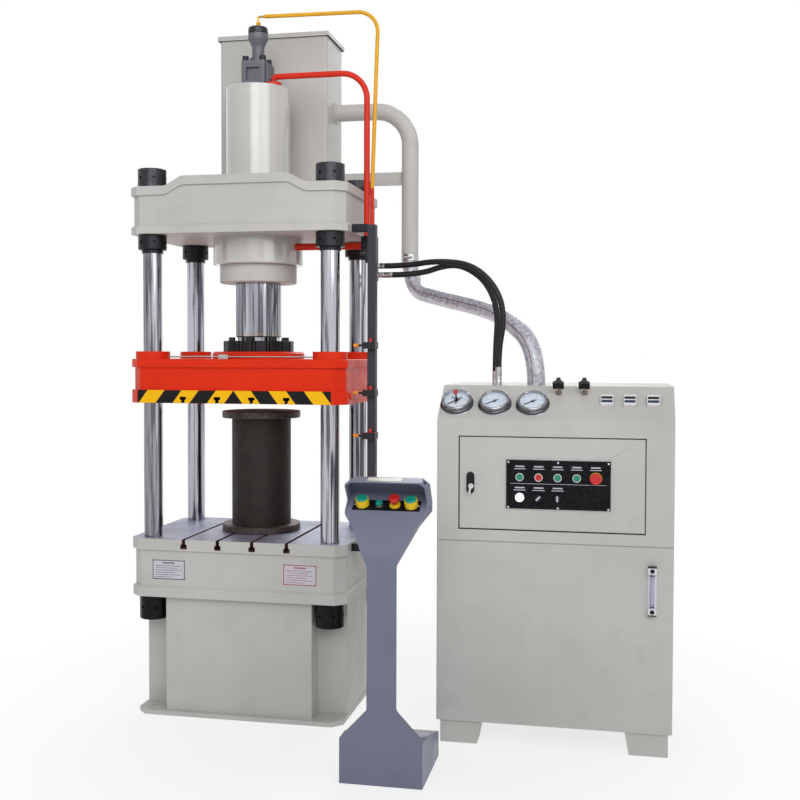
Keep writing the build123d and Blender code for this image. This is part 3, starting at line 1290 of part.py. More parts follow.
def control_stand():
    base, stem_half, head = STAND_BASE_WIDTH / 2, STAND_STEM_WIDTH / 2, STAND_HEAD_WIDTH / 2
    shoulder = STAND_BASE_SHOULDER
    right = [
        (base, 0),
        (base, shoulder - STAND_CORNER),
        (base - STAND_CORNER, shoulder),
        (stem_half, STAND_FLARE_TOP),
        (stem_half, STAND_NECK),
        (STAND_CHEEK_WIDTH / 2, STAND_CHEEK_LEVEL),
        (head, STAND_HEAD_LEVEL),
        (head, STAND_HEAD_TOP - STAND_HOOD_CORNER),
        (head - STAND_HOOD_CORNER, STAND_HEAD_TOP),
    ]
    outline = right + [(-x, z) for x, z in reversed(right)]
    front = front_outline(outline, 0, STAND_BASE_DEPTH)
    blends = [
        edge
        for edge in front.edges().filter_by(Axis.Y)
        if STAND_FLARE_TOP - STAND_CORNER < edge.center().Z < STAND_HEAD_LEVEL + STAND_CORNER
    ]
    front = fillet(blends, STAND_BLEND)
    console_back, console_top = up_console(STAND_CONSOLE_LENGTH)
    hood_front = STAND_HEAD_TOP - STAND_HOOD_FALL
    lip_bottom = hood_front - STAND_LIP_HEIGHT
    fall = STAND_HOOD_FALL / (STAND_HOOD_BACK - STAND_LIP_Y)
    recess_top = (STAND_RECESS_BACK, lip_bottom + fall * (STAND_RECESS_BACK - STAND_LIP_Y))
    side = [
        (0, 0),
        (0, STAND_BEND),
        (STAND_CONSOLE_Y, STAND_CONSOLE_Z),
        (console_back, console_top),
        recess_top,
        (STAND_LIP_Y, lip_bottom),
        (STAND_LIP_Y, hood_front),
        (STAND_HOOD_BACK, STAND_HEAD_TOP),
        (STAND_HEAD_BACK, STAND_HEAD_BACK_Z),
        (STAND_HEAD_BACK, STAND_HEAD_LEVEL),
        (STAND_STEM_DEPTH, STAND_NECK),
        (STAND_STEM_DEPTH, STAND_BASE_SHOULDER),
        (STAND_BASE_DEPTH, STAND_BASE_BACK_HEIGHT),
        (STAND_BASE_DEPTH, 0),
    ]
    body = front & side_outline(side, -head - base, head + base)
    gusset_bottom = lip_bottom - STAND_GUSSET_HEIGHT
    cheek_profile = [
        (STAND_CONSOLE_Y, STAND_CONSOLE_Z),
        (STAND_CHEEK_Y, STAND_CHEEK_Z),
        (STAND_LIP_Y, gusset_bottom),
        (STAND_LIP_Y, lip_bottom),
        recess_top,
        (console_back, console_top),
    ]
    for x0 in (-head, head - STAND_CHEEK):
        body += front & side_outline(cheek_profile, x0, x0 + STAND_CHEEK)
    for side_sign in (-1, 1):
        corner = [
            (side_sign * head, gusset_bottom),
            (side_sign * head, hood_front),
            (side_sign * (head - STAND_GUSSET_WIDTH), hood_front),
            (side_sign * (head - STAND_GUSSET_WIDTH), lip_bottom),
        ]
        body += front & front_outline(corner, STAND_LIP_Y, STAND_LIP_Y + STAND_CHEEK)
    holes = []
    for x in (*STAND_BUTTON_X, STAND_START_X, STAND_STOP_X):
        holes.append(console_frame(x) * rod(STEM_DIAMETER + 2 * RUNNING_FIT, -STAND_STEM_BORE, 0))
    return stand_place(body - holes)


def stand_panel():
    """Black strip on the console, with the stop button's collar."""
    strip = Pos(0, 0, STAND_STRIP_THICKNESS / 2) * Box(
        STAND_STRIP_LENGTH, STAND_STRIP_WIDTH, STAND_STRIP_THICKNESS
    )
    strip = console_frame(0) * strip
    for x in (*STAND_BUTTON_X, STAND_START_X, STAND_STOP_X):
        strip -= console_frame(x) * rod(STEM_DIAMETER + 2 * RUNNING_FIT, 0, STAND_STRIP_THICKNESS)
    return stand_place(strip)


def button_shrouds():
    """Yellow guards round the two palm buttons and the yellow ring under the stop button."""
    face = STAND_STRIP_THICKNESS
    shroud = rod(SHROUD_DIAMETER, face, face + SHROUD_HEIGHT)
    shroud -= rod(SHROUD_DIAMETER - 2 * SHROUD_WALL, face, face + SHROUD_HEIGHT)
    shroud += rod(SHROUD_DIAMETER, face, face + SHROUD_WALL)
    ring = rod(STOP_RING_DIAMETER, face, face + STOP_RING_HEIGHT)
    hole = rod(STEM_DIAMETER + 2 * RUNNING_FIT, face, face + SHROUD_WALL + STOP_RING_HEIGHT)
    guards = [console_frame(x) * (shroud - hole) for x in STAND_BUTTON_X]
    guards.append(console_frame(STAND_STOP_X) * (ring - hole))
    return stand_place(Compound(guards))


def console_button(x, diameter, lift, height):
    """Mushroom button on a stem that is guided in the stand's console."""
    low = STAND_STRIP_THICKNESS + lift
    head = rod(diameter, low, low + height)
    head = fillet(head.edges().group_by(Axis.Z)[-1], height / 4)
    shaft = rod(STEM_DIAMETER, -STAND_STEM_LENGTH, low)
    return stand_place(console_frame(x) * (head + shaft))


def build():
    keep("base_frame", base_frame())
    keep("bed", bed())
    keep("columns", columns())
    keep("column_nuts", column_nuts())
    keep("crown", crown())
    keep("cylinder_barrel", cylinder_barrel())
    keep("gland_cover", gland_cover())
    keep("valve_block", valve_block())
    keep("valve_bonnet", valve_bonnet())
    keep("socket_bolts", socket_bolts())
    keep("pilot_fitting", pilot_fitting())
    keep("pilot_pipe", pilot_pipe())
    keep("pressure_pipe", pressure_pipe())
    keep("return_pipe", return_pipe())
    keep("hose_manifold", hose_manifold())
    keep("switch_rail", switch_rail())
    for name, level in zip(("low", "middle", "high"), SENSOR_LEVELS):
        keep(f"{name}_sensor", position_sensor(level))
    keep("oil_tank", oil_tank())
    keep("fill_pipe", fill_pipe())
    keep("hose_clamp", hose_clamp())
    keep("hose_ferrules", hose_ferrules())
    keep("support_post", support_post())
    keep("slide", slide())
    keep("slide_bushings", slide_bushings())
    keep("ram", ram())
    keep("rod_clamp_ring", rod_clamp_ring())
    keep("grease_tubes", grease_tubes())
    keep("console_housing", console_housing())
    keep("oil_reservoir", oil_reservoir())
    keep("cabinet_feet", cabinet_feet())
    keep("cabinet_door", cabinet_door())
    keep("door_lock", door_lock())
    keep("control_panel", control_panel())
    for name, x in zip(("left_green", "red", "middle_green", "right_green"), BUTTON_X):
        keep(f"{name}_button", push_button(x))
    keep("cabinet_stop_button", emergency_stop())
    for name, x, rest in zip(("left", "right"), SELECTOR_X, SELECTOR_REST):
        keep(f"{name}_selector", selector(x, rest))
    keep("gauge_cases", gauge_cases())
    for name, x in zip(("left", "middle", "right"), GAUGE_X):
        keep(f"{name}_gauge_needle", gauge_needle(x))
    for name, x in zip(("left", "right"), VALVE_KNOB_X):
        keep(f"{name}_valve_knob", valve_knob(x))
    keep("indicator_blocks", indicator_blocks())
    keep("oil_level_gauge", oil_level_gauge())
    keep("control_stand", control_stand())
    keep("stand_panel", stand_panel())
    keep("button_shrouds", button_shrouds())
    palm = SHROUD_DIAMETER - 2 * SHROUD_WALL - 2 * SOFT_GAP
    for name, x in zip(("left", "right"), STAND_BUTTON_X):
        keep(f"{name}_palm_button", console_button(x, palm, PALM_BUTTON_LIFT, PALM_BUTTON_HEIGHT))
    keep("stand_start_button", console_button(STAND_START_X, START_DIAMETER, START_LIFT, START_HEIGHT))
    keep("stand_stop_button", console_button(STAND_STOP_X, STOP_DIAMETER, STOP_LIFT, STOP_HEIGHT))
    for name, (points, diameter) in hose_routes().items():
        radii = route_radii(points)
        print(name, "radii in diameters", [round(radius / diameter, 2) for radius in radii])
        keep(name, bent_tube(points, radii, diameter))


build()
os.makedirs("parts", exist_ok=True)
for part_name, part in parts.items():
    export_step(part, f"parts/{part_name}.step")
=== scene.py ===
"""Looks of a four-column hydraulic press with its power cabinet and its two-hand control stand."""

import math

import bmesh
import bpy
from bpy.props import FloatProperty, FloatVectorProperty, PointerProperty
from mathutils import Matrix, Vector


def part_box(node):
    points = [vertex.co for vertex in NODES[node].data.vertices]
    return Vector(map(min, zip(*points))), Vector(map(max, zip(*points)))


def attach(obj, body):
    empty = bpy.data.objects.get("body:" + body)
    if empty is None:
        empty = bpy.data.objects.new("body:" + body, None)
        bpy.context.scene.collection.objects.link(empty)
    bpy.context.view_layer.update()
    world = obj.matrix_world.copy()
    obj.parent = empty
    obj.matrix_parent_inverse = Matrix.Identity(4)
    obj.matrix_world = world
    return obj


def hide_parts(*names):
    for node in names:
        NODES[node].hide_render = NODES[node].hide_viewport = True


bl_info = {
    "name": "Hydraulic press looks",
    "version": (1, 0, 0),
    "blender": (4, 5, 0),
    "location": "View3D > Sidebar > Press",
    "description": "Dresses a packed four-column press with paint, chrome, gauges, tape and hoses",
    "category": "Object",
}

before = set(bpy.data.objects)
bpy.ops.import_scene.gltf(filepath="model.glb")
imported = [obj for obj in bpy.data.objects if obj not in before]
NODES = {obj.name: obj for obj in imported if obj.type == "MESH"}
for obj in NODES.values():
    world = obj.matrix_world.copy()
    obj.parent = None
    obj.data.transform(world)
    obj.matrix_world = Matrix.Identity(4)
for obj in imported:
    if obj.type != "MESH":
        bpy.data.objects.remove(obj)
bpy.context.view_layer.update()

# Places on the press, the cabinet and the stand, in metres and degrees, as in the CAD model
BED_TOP = 0.715
SLIDE_BOTTOM = 1.257
BEAM_FRONT = -0.295
T_SLOTS = [(i - 1.5) * 0.142 for i in range(4)]
CABINET_X, CABINET_FRONT = 1.245, -0.347
CONSOLE_BEND, CONSOLE_RUN, CONSOLE_RISE = 1.213, 0.160, 0.122
PANEL_FACE = 0.003
STAND_X, STAND_FRONT = 0.705, -0.807
STRIP_Y, STRIP_Z, STRIP_SLOPE = 0.09198, 0.935, 30
HOOD_Y, HOOD_Z, HOOD_RUN, HOOD_RISE = 0.092, 1.025, 0.064, 0.010

# sRGB colours of the finishes
CREAM = "#c2c0bb"
CREAM_DARK = "#8f8b83"
VERMILION = "#df3010"
SAFETY_YELLOW = "#f2b705"
PIPE_YELLOW = "#e6ab2c"
PIPE_RED = "#d8321f"
CHROME = "#b9b9c1"
GROUND_STEEL = "#9ca1b6"
BLACK_OXIDE = "#222226"
IRON_GREY = "#6a6a72"
RAIL_GREY = "#3b3940"
POST_BROWN = "#241e1c"
STAND_BLUE = "#73778a"
JET = "#0c0c11"
SIGNAL_GREEN = "#12875f"
SIGNAL_RED = "#c41f1c"
RUST = "#6a3d2a"


def srgb(colour):
    """Linear RGBA of an sRGB hex colour; a colour that is already linear keeps its values."""
    if not isinstance(colour, str):
        return (*colour[:3], 1.0)
    channels = [int(colour[i : i + 2], 16) / 255 for i in (1, 3, 5)]
    linear = [c / 12.92 if c <= 0.04045 else ((c + 0.055) / 1.055) ** 2.4 for c in channels]
    return (*linear, 1.0)


def add(tree, kind, inputs=(), **settings):
    """Adds one shader node.

    The inputs are given by name or number, or as a list in the node's own order. Each is a value, a hex colour or the
    socket that feeds it.
    """
    made = tree.nodes.new(kind)
    for name, value in settings.items():
        setattr(made, name, value)
    for name, value in inputs.items() if isinstance(inputs, dict) else enumerate(inputs):
        if isinstance(value, bpy.types.NodeSocket):
            tree.links.new(value, made.inputs[name])
        else:
            made.inputs[name].default_value = srgb(value) if isinstance(value, str) else value
    return made


# ---- materials ----


def finish(name, colour, surface, tints=(), gloss=None, glow=None, relief=None):
    """One material: a principled shader whose patterns sit in the object's own coordinates.

    A pattern is a noise, as (size in mm, detail, roughness) and, where it has a lay, its scale along X, Y and Z, or a
    function that draws a mask. A tint is (pattern, range, shade): the pattern brings that shade in over the colour.
    Gloss and glow are (pattern, range) of the roughness and of the light given off, and relief is (pattern, depth in
    mm). A range is (low, high, value at low, value at high).
    """
    material = bpy.data.materials.new(name)
    material.use_nodes = True
    tree = material.node_tree
    tree.nodes.clear()
    place = add(tree, "ShaderNodeTexCoord").outputs["Object"]
    drawn = {}

    def draw(pattern):
        """Each pattern is drawn once, so colour, gloss and relief share it."""
        if pattern not in drawn:
            if callable(pattern):
                drawn[pattern] = pattern(tree, place)
            else:
                size, detail, roughness, *lay = pattern
                spot = add(tree, "ShaderNodeMapping", {"Vector": place, "Scale": lay[0]}).outputs[0] if lay else place
                inputs = {"Vector": spot, "Scale": 1000 / size, "Detail": detail, "Roughness": roughness}
                drawn[pattern] = add(tree, "ShaderNodeTexNoise", inputs).outputs["Fac"]
        return drawn[pattern]

    def spread(pattern, limits):
        return add(tree, "ShaderNodeMapRange", [draw(pattern), *limits]).outputs["Result"]

    for pattern, limits, shade in tints:
        share = spread(pattern, limits) if limits else draw(pattern)
        colour = add(tree, "ShaderNodeMix", {0: share, 6: colour, 7: shade}, data_type="RGBA").outputs[2]
    surface = {"Base Color": colour, **surface}
    if gloss:
        surface["Roughness"] = spread(*gloss)
    if glow:
        surface["Emission Strength"] = spread(*glow)
    if relief:
        bumps = {"Height": draw(relief[0]), "Distance": relief[1] / 1000, "Strength": 1.0}
        surface["Normal"] = add(tree, "ShaderNodeBump", bumps).outputs[0]
    shader = add(tree, "ShaderNodeBsdfPrincipled", surface)
    add(tree, "ShaderNodeOutputMaterial", [shader.outputs[0]])
    return material


def sprayed_enamel(name, colour, shade, roughness, dirt, coat=0.02, shine=0.15):
    """Two-part enamel sprayed on filled castings and sheet steel: an even satin gloss with faint orange peel.

    The peel of the real coat is about 3 mm across and is drawn at 7 mm, so that it shows at this distance.
    """
    patches, soil, cloudiness, peel = (420, 3.0, 0.5), (90, 6.0, 0.65), (55, 4.0, 0.5), (7, 1.0, 0.5)
    return finish(
        name,
        colour,
        {"Specular IOR Level": shine, "Coat Weight": coat, "Coat Roughness": 0.1},
        tints=[(patches, (0.35, 0.7, 0.0, 0.22), shade), (soil, (0.52, 0.85, 0.0, dirt), shade)],
        gloss=(cloudiness, (0.3, 0.7, roughness - 0.05, roughness + 0.1)),
        relief=(peel, 0.05),
    )


def grease_line(level):
    """Mask of the ring, 2 mm high, that a scraper leaves on a rod at that height in metres."""

    def mask(tree, place):
        height = add(tree, "ShaderNodeSeparateXYZ", [place]).outputs["Z"]
        return add(tree, "ShaderNodeMath", [height, level, 0.001], operation="COMPARE").outputs[0]

    return mask


def hard_chrome(name, grease_levels=()):
    """Hard chromium plating on ground rods: a mirror with lengthwise dark streaks and bands, 16 and 45 mm wide, that
    are painted reflections of the surroundings.

    Yellow lines of grease stand where the ram's scraper left them.
    """
    upright = (1.0, 1.0, 0.03)
    streaks, bands = (16, 3.0, 0.6, upright), (45, 1.0, 0.5, upright)
    grease = [(grease_line(level), None, "#b48a2c") for level in grease_levels]
    return finish(
        name,
        CHROME,
        {"Metallic": 1.0},
        # Painted reflections: dark bands and streaks along the rods
        tints=[(bands, (0.45, 0.62, 0.0, 0.5), "#4c4c56"), (streaks, (0.49, 0.6, 0.0, 0.85), "#46464e"), *grease],
        gloss=(streaks, (0.35, 0.7, 0.09, 0.2)),
    )


def machined_steel(name):
    """Milled and oiled mild steel: a grey metal with fine tool lines along Y, drawn 5 mm apart, and oil stains."""
    lines, stains = (5, 3.0, 0.7, (1.0, 0.04, 1.0)), (110, 7.0, 0.7)
    return finish(
        name,
        GROUND_STEEL,
        {"Metallic": 0.4},
        tints=[(stains, (0.4, 0.72, 0.0, 0.7), "#5c6070")],
        gloss=(lines, (0.3, 0.7, 0.3, 0.5)),
        relief=(lines, 0.03),
    )


def black_oxide(name, colour=BLACK_OXIDE, rubbed="#333338"):
    """Blued, turned steel, oiled: nearly black, with a dull metallic sheen and faint turning lines."""
    lines, wear = (2.5, 2.0, 0.5, (0.15, 0.15, 1.0)), (18, 5.0, 0.7)
    return finish(
        name,
        colour,
        {"Metallic": 0.75},
        tints=[(wear, (0.5, 0.8, 0.0, 0.5), rubbed)],
        gloss=(lines, (0.3, 0.7, 0.25, 0.45)),
        relief=(lines, 0.04),
    )


def cast_iron(name):
    """Phosphated cast iron: matt dark grey with a sand-cast grain of about a millimetre, drawn at 3 mm."""
    grain = (3, 4.0, 0.7)
    return finish(
        name,
        IRON_GREY,
        {"Metallic": 0.35, "Roughness": 0.5},
        tints=[(grain, (0.35, 0.7, 0.0, 0.6), "#3c3c42")],
        relief=(grain, 0.25),
    )


def scaled_steel(name):
    """Hot-rolled pipe with mill scale and light rust: brown-black and matt, paler where handling rubbed it."""
    blotches, rubbing, pits = (60, 7.0, 0.7), (14, 5.0, 0.75), (5, 4.0, 0.7)
    return finish(
        name,
        POST_BROWN,
        {"Metallic": 0.2, "Specular IOR Level": 0.3},
        tints=[(blotches, (0.45, 0.75, 0.0, 0.7), "#3f342e"), (rubbing, (0.6, 0.8, 0.0, 0.5), "#554a43")],
        gloss=(blotches, (0.3, 0.7, 0.45, 0.7)),
        relief=(pits, 0.2),
    )


def worn_flange(name):
    """The post's flange rims: scale worn through to dull brown-grey steel."""
    blotches = (22, 6.0, 0.7)
    return finish(
        name,
        "#594f4a",
        {"Metallic": 0.55},
        tints=[(blotches, (0.35, 0.65, 0.0, 1.0), "#332c2a")],
        gloss=(blotches, (0.3, 0.7, 0.35, 0.6)),
        relief=(blotches, 0.2),
    )


def rusty_slot(name):
    """Milled slot walls left bare: brown flash rust over steel, matt and blotchy."""
    blotches = (30, 6.0, 0.7)
    return finish(
        name,
        RUST,
        {"Metallic": 0.15, "Roughness": 0.75},
        tints=[(blotches, (0.4, 0.65, 0.0, 1.0), "#2e201b")],
        relief=(blotches, 0.1),
    )


def bright_metal(name, colour, roughness):
    """Zinc, nickel or chromium plate, or bare bronze and brass: a bright metal with small variations of gloss."""
    wipes = (6, 3.0, 0.5)
    return finish(name, colour, {"Metallic": 1.0}, gloss=(wipes, (0.3, 0.7, roughness - 0.06, roughness + 0.1)))


def moulded_plastic(name, colour, roughness, shine=0.5):
    """Injection-moulded ABS or nylon: even colour, soft gloss and the fine spark-eroded grain of its mould."""
    grain = (1.5, 2.0, 0.5)
    return finish(
        name,
        colour,
        {"Specular IOR Level": shine},
        gloss=(grain, (0.3, 0.7, roughness - 0.05, roughness + 0.08)),
        relief=(grain, 0.03),
    )


def rubber_cover(name):
    """Extruded synthetic rubber over the hose's wire braid: black, matt, with faint cloth marks round it."""
    marks = (2.2, 3.0, 0.5)
    return finish(
        name, "#0e0e0f", {"Specular IOR Level": 0.35}, gloss=(marks, (0.3, 0.7, 0.42, 0.6)), relief=(marks, 0.12)
    )


def clear_vinyl(name):
    """Clear PVC suction hose with oil film inside: grey, half see-through, glossy with soft ripples."""
    ripples = (15, 6.0, 0.72)
    return finish(
        name,
        "#e0e0e8",
        {"IOR": 1.53, "Transmission Weight": 0.3, "Roughness": 0.16, "Coat Weight": 0.6, "Coat Roughness": 0.05},
        tints=[(ripples, (0.35, 0.65, 0.0, 1.0), "#83838e")],
        relief=(ripples, 0.8),
    )


def window_glass(name):
    """Thin clear polycarbonate: almost invisible but for its reflections."""
    ripples = (40, 1.0, 0.5)
    surface = {"Roughness": 0.03, "Transmission Weight": 1.0, "IOR": 1.1, "Alpha": 0.35}
    return finish(name, "#f4f8f8", surface, relief=(ripples, 0.02))


def lit_lens(name):
    """Opal polycarbonate lamp lens with its lamp on: even white light."""
    clouds = (10, 1.0, 0.5)
    surface = {"Roughness": 0.3, "Emission Color": "#ffffff"}
    return finish(name, "#ffffff", surface, glow=(clouds, (0.2, 0.8, 1.3, 1.5)))


def printed_film(name, colour, roughness, shine=0.4, coat=0.1):
    """Screen-printed polyester or enamelled foil: flat even colour under a thin gloss."""
    smudges = (12, 4.0, 0.6)
    return finish(
        name,
        colour,
        {"Specular IOR Level": shine, "Coat Weight": coat},
        tints=[(smudges, (0.45, 0.75, 0.0, 0.18), "#4a4a4c")],
        gloss=(smudges, (0.3, 0.7, roughness, roughness + 0.12)),
    )


TAPE_MIDDLE, TAPE_LEVEL = -0.003, SLIDE_BOTTOM + 0.052
TAPE_PITCH, TAPE_LEAN = 0.1435, 0.75


def tape_bands(tree, place):
    """Mask of the tape's black bands, which lean outwards from its middle."""
    split = add(tree, "ShaderNodeSeparateXYZ", [place]).outputs
    centred = add(tree, "ShaderNodeMath", [split["X"], TAPE_MIDDLE], operation="SUBTRACT").outputs[0]
    outward = add(tree, "ShaderNodeMath", [centred], operation="ABSOLUTE").outputs[0]
    height = add(tree, "ShaderNodeMath", [split["Z"], TAPE_LEVEL], operation="SUBTRACT").outputs[0]
    lean = add(tree, "ShaderNodeMath", [height, TAPE_LEAN, outward], operation="MULTIPLY_ADD").outputs[0]
    turns = add(tree, "ShaderNodeMath", [lean, TAPE_PITCH], operation="DIVIDE").outputs[0]
    phase = add(tree, "ShaderNodeMath", [turns, 1.0], operation="FLOORED_MODULO").outputs[0]
    return add(tree, "ShaderNodeMath", [phase, 0.5], operation="GREATER_THAN").outputs[0]


def hazard_tape(name):
    """Self-adhesive warning tape: yellow and black bands 72 mm wide, a little soiled."""
    soil = (30, 6.0, 0.7)
    surface = {"Specular IOR Level": 0.2, "Roughness": 0.4}
    tints = [(tape_bands, None, "#070708"), (soil, (0.55, 0.85, 0.0, 0.25), "#2a2416")]
    return finish(name, SAFETY_YELLOW, surface, tints=tints)


MATERIALS = {}


def make_materials(paints):
    """Makes every finish; the paints of the frame and of the slide are the add-on's settings."""
    body, slide = srgb(paints.body_colour), srgb(paints.slide_colour)
    MATERIALS.update(
        cream=sprayed_enamel("cream enamel", body, CREAM_DARK, 0.4, 0.22),
        gloss_cream=sprayed_enamel("polished cream enamel", body, CREAM_DARK, 0.18, 0.12, 0.9, 0.5),
        vermilion=sprayed_enamel("vermilion enamel", slide, "#a82208", 0.34, 0.25, 0.0, 0.15),
        pipe_yellow=sprayed_enamel("yellow pipe enamel", PIPE_YELLOW, "#a87410", 0.3, 0.3),
        pipe_red=sprayed_enamel("red pipe enamel", PIPE_RED, "#8f1d10", 0.3, 0.3),
        rail=sprayed_enamel("dark grey enamel", RAIL_GREY, "#2c2a30", 0.4, 0.35),
        stand=sprayed_enamel("blue-grey enamel", STAND_BLUE, "#585c6e", 0.38, 0.3, 0.05, 0.3),
        chrome=hard_chrome("hard chrome plate"),
        ram_chrome=hard_chrome("greased hard chrome plate", (1.534, 1.521)),
        table=machined_steel("milled steel table"),
        oxide=black_oxide("black oxide steel"),
        # Darker and lighter copies of black oxide: painted shade on the nuts below the bed, and painted light on the
        # nuts above the crown; the lighter one also dresses the valve bonnet's rubbed cap
        oiled_oxide=black_oxide("black oxide steel in painted shade", "#0f0f11", "#1b1b1e"),
        worn_oxide=black_oxide("rubbed black oxide steel with painted light", "#333338", "#55555b"),
        iron=cast_iron("phosphated cast iron"),
        post=scaled_steel("mill scale steel"),
        worn=worn_flange("worn flange steel"),
        rust=rusty_slot("flash-rusted slot"),
        bronze=bright_metal("bronze", "#9c7434", 0.34),
        brass=bright_metal("brass", "#c99a3c", 0.28),
        zinc=bright_metal("zinc plate", "#b4b4b2", 0.3),
        bright=bright_metal("polished nickel", "#d0d0d2", 0.1),
        nickel=bright_metal("dulled nickel plate", "#a1968a", 0.25),
        # The gauge bezels' chrome is darkened as a painted reflection of dark surroundings, and the flange is darker
        # still as painted shade
        dim_chrome=bright_metal("chromed gauge ring", "#85858a", 0.12),
        dark_chrome=bright_metal("chromed gauge flange in shade", "#4a4a4f", 0.14),
        # Black rubber of the door seal, also painted under the oil tank's lid as a painted shadow
        seal=moulded_plastic("black door seal", "#0b0b0c", 0.6, 0.2),
        black_abs=moulded_plastic("black nylon", "#121215", 0.42, 0.3),
        green_abs=moulded_plastic("green polycarbonate", SIGNAL_GREEN, 0.25),
        teal_abs=moulded_plastic("teal polycarbonate", "#0d8f7a", 0.25),
        lavender=moulded_plastic("tinted acrylic sight tube", "#a9a6c4", 0.2),
        red_abs=moulded_plastic("red polycarbonate", SIGNAL_RED, 0.25),
        yellow_abs=moulded_plastic("yellow polycarbonate", "#e8c21a", 0.3),
        orange_abs=moulded_plastic("orange polycarbonate", "#e88a12", 0.3),
        white_abs=moulded_plastic("white ABS", "#dddde0", 0.35),
        rubber=rubber_cover("black hose rubber"),
        vinyl=clear_vinyl("clear reinforced PVC"),
        glass=window_glass("clear polycarbonate"),
        lamp=lit_lens("opal lamp lens"),
        panel=printed_film("black anodised panel", JET, 0.42, 0.1, 0.0),
        print_white=printed_film("white print", "#b9bcc4", 0.4),
        plate_silver=printed_film("brushed plate foil", "#c6c6cc", 0.35),
        plate_dark=printed_film("dark print", "#3b3d4a", 0.4),
        plate_red=printed_film("red print", "#a83a44", 0.4),
        dial=printed_film("gauge dial", "#d3dbe6", 0.35),
        tracer=printed_film("dark red tracer", "#7a2a2e", 0.3),
        window=printed_film("black display window", "#101015", 0.3, 0.2, 0.0),
        blue_window=printed_film("dark blue display window", "#2c3550", 0.3, 0.2, 0.0),
        ivory=printed_film("ivory label film", "#cfcabb", 0.4),
        tape=hazard_tape("hazard tape"),
    )


# ---- shapes ----


def new_object(name, mesh, materials, body, smooth=None):
    """Links a mesh as a finished piece that rides on a CAD body; smooth is its shading's sharp angle in degrees."""
    made = bpy.data.objects.new(name, mesh)
    bpy.context.scene.collection.objects.link(made)
    for item in materials:
        mesh.materials.append(MATERIALS[item])
    if smooth is not None:
        for polygon in mesh.polygons:
            polygon.use_smooth = True
        mesh.set_sharp_from_angle(angle=math.radians(smooth))
    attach(made, body)
    return made


def finish_mesh(name, working, place=None):
    """Turns a bmesh into a mesh, moved by a matrix."""
    if place is not None:
        working.transform(place)
    bmesh.ops.recalc_face_normals(working, faces=working.faces)
    mesh = bpy.data.meshes.new(name)
    working.to_mesh(mesh)
    working.free()
    return mesh


def join(working, piece):
    """Moves all of one bmesh into another."""
    spare = bpy.data.meshes.new("spare")
    piece.to_mesh(spare)
    piece.free()
    working.from_mesh(spare)
    bpy.data.meshes.remove(spare)


def in_order(elements, place):
    """Sorts a bmesh's vertices or faces by where they are, because an extrusion lists them anew at each run."""
    for index, item in enumerate(sorted(elements, key=lambda item: place(item)[:])):
        item.index = index
    elements.sort()


def lathe(profile, steps=48, working=None, index=0):
    """Turns (radius, height) points about Z, as an open shell unless the profile ends on the axis or its start."""
    working = working or bmesh.new()
    rings = []
    for radius, height in profile:
        if radius < 1e-7:
            rings.append([working.verts.new((0, 0, height))])
            continue
        angles = [2 * math.pi * i / steps for i in range(steps)]
        rings.append([working.verts.new((radius * math.cos(a), radius * math.sin(a), height)) for a in angles])
    for low, high in zip(rings, rings[1:]):
        for i in range(steps):
            j = (i + 1) % steps
            corners = [low[i % len(low)], low[j % len(low)], high[j % len(high)], high[i % len(high)]]
            unique = list(dict.fromkeys(corners))
            if len(unique) > 2:
                working.faces.new(unique).material_index = index
    return working


def lathe_at(working, profile, spot, steps=24, index=0):
    """Adds a turned shape to a bmesh at a spot."""
    piece = lathe(profile, steps, None, index)
    piece.transform(Matrix.Translation(spot))
    join(working, piece)


def slab(working, size, place=(0, 0, 0), bevel=0.0, turn=0.0, index=0):
    """Adds a block with rounded edges to a bmesh; turn is about Z."""
    piece = bmesh.new()
    bmesh.ops.create_cube(piece, size=1.0)
    bmesh.ops.scale(piece, vec=size, verts=piece.verts)
    if bevel:
        bmesh.ops.bevel(piece, geom=piece.edges[:], offset=bevel, segments=2, affect="EDGES", profile=0.5)
    piece.transform(Matrix.Translation(place) @ Matrix.Rotation(turn, 4, "Z"))
    for face in piece.faces:
        face.material_index = index
    join(working, piece)


def digits(working, text, height, place, index=0):
    """Adds the flat number of a dial's scale."""
    curve = bpy.data.curves.new("digits", "FONT")
    curve.body = text
    curve.size = height
    curve.align_x, curve.align_y = "CENTER", "CENTER"
    holder = bpy.data.objects.new("digits", curve)
    flat = bpy.data.meshes.new_from_object(holder)
    flat.transform(Matrix.Translation(place))
    before = len(working.faces)
    working.from_mesh(flat)
    working.faces.ensure_lookup_table()
    for face in working.faces[before:]:
        face.material_index = index
    bpy.data.objects.remove(holder)
    bpy.data.curves.remove(curve)
    bpy.data.meshes.remove(flat)


def console_place(x, s):
    """Matrix of a spot on the sloping console: Z is the outward normal, Y runs up the slope; sizes in metres."""
    angle = math.atan2(CONSOLE_RISE, CONSOLE_RUN)
    spot = (CABINET_X + x, CABINET_FRONT + s * math.cos(angle), CONSOLE_BEND + s * math.sin(angle))
    return Matrix.Translation(spot) @ Matrix.Rotation(angle, 4, "X")


def front_place(x, z):
    """Matrix of a spot on the cabinet's front: Z points out of it, Y is up."""
    return Matrix.Translation((CABINET_X + x, CABINET_FRONT, z)) @ Matrix.Rotation(math.pi / 2, 4, "X")


def strip_place(x):
    """Matrix of a spot on the strip of the stand's buttons: Z is the outward normal, Y runs up the slope."""
    spot = Matrix.Translation((STAND_X + x, STAND_FRONT + STRIP_Y, STRIP_Z))
    return spot @ Matrix.Rotation(math.radians(STRIP_SLOPE), 4, "X")


# ---- CAD nodes ----

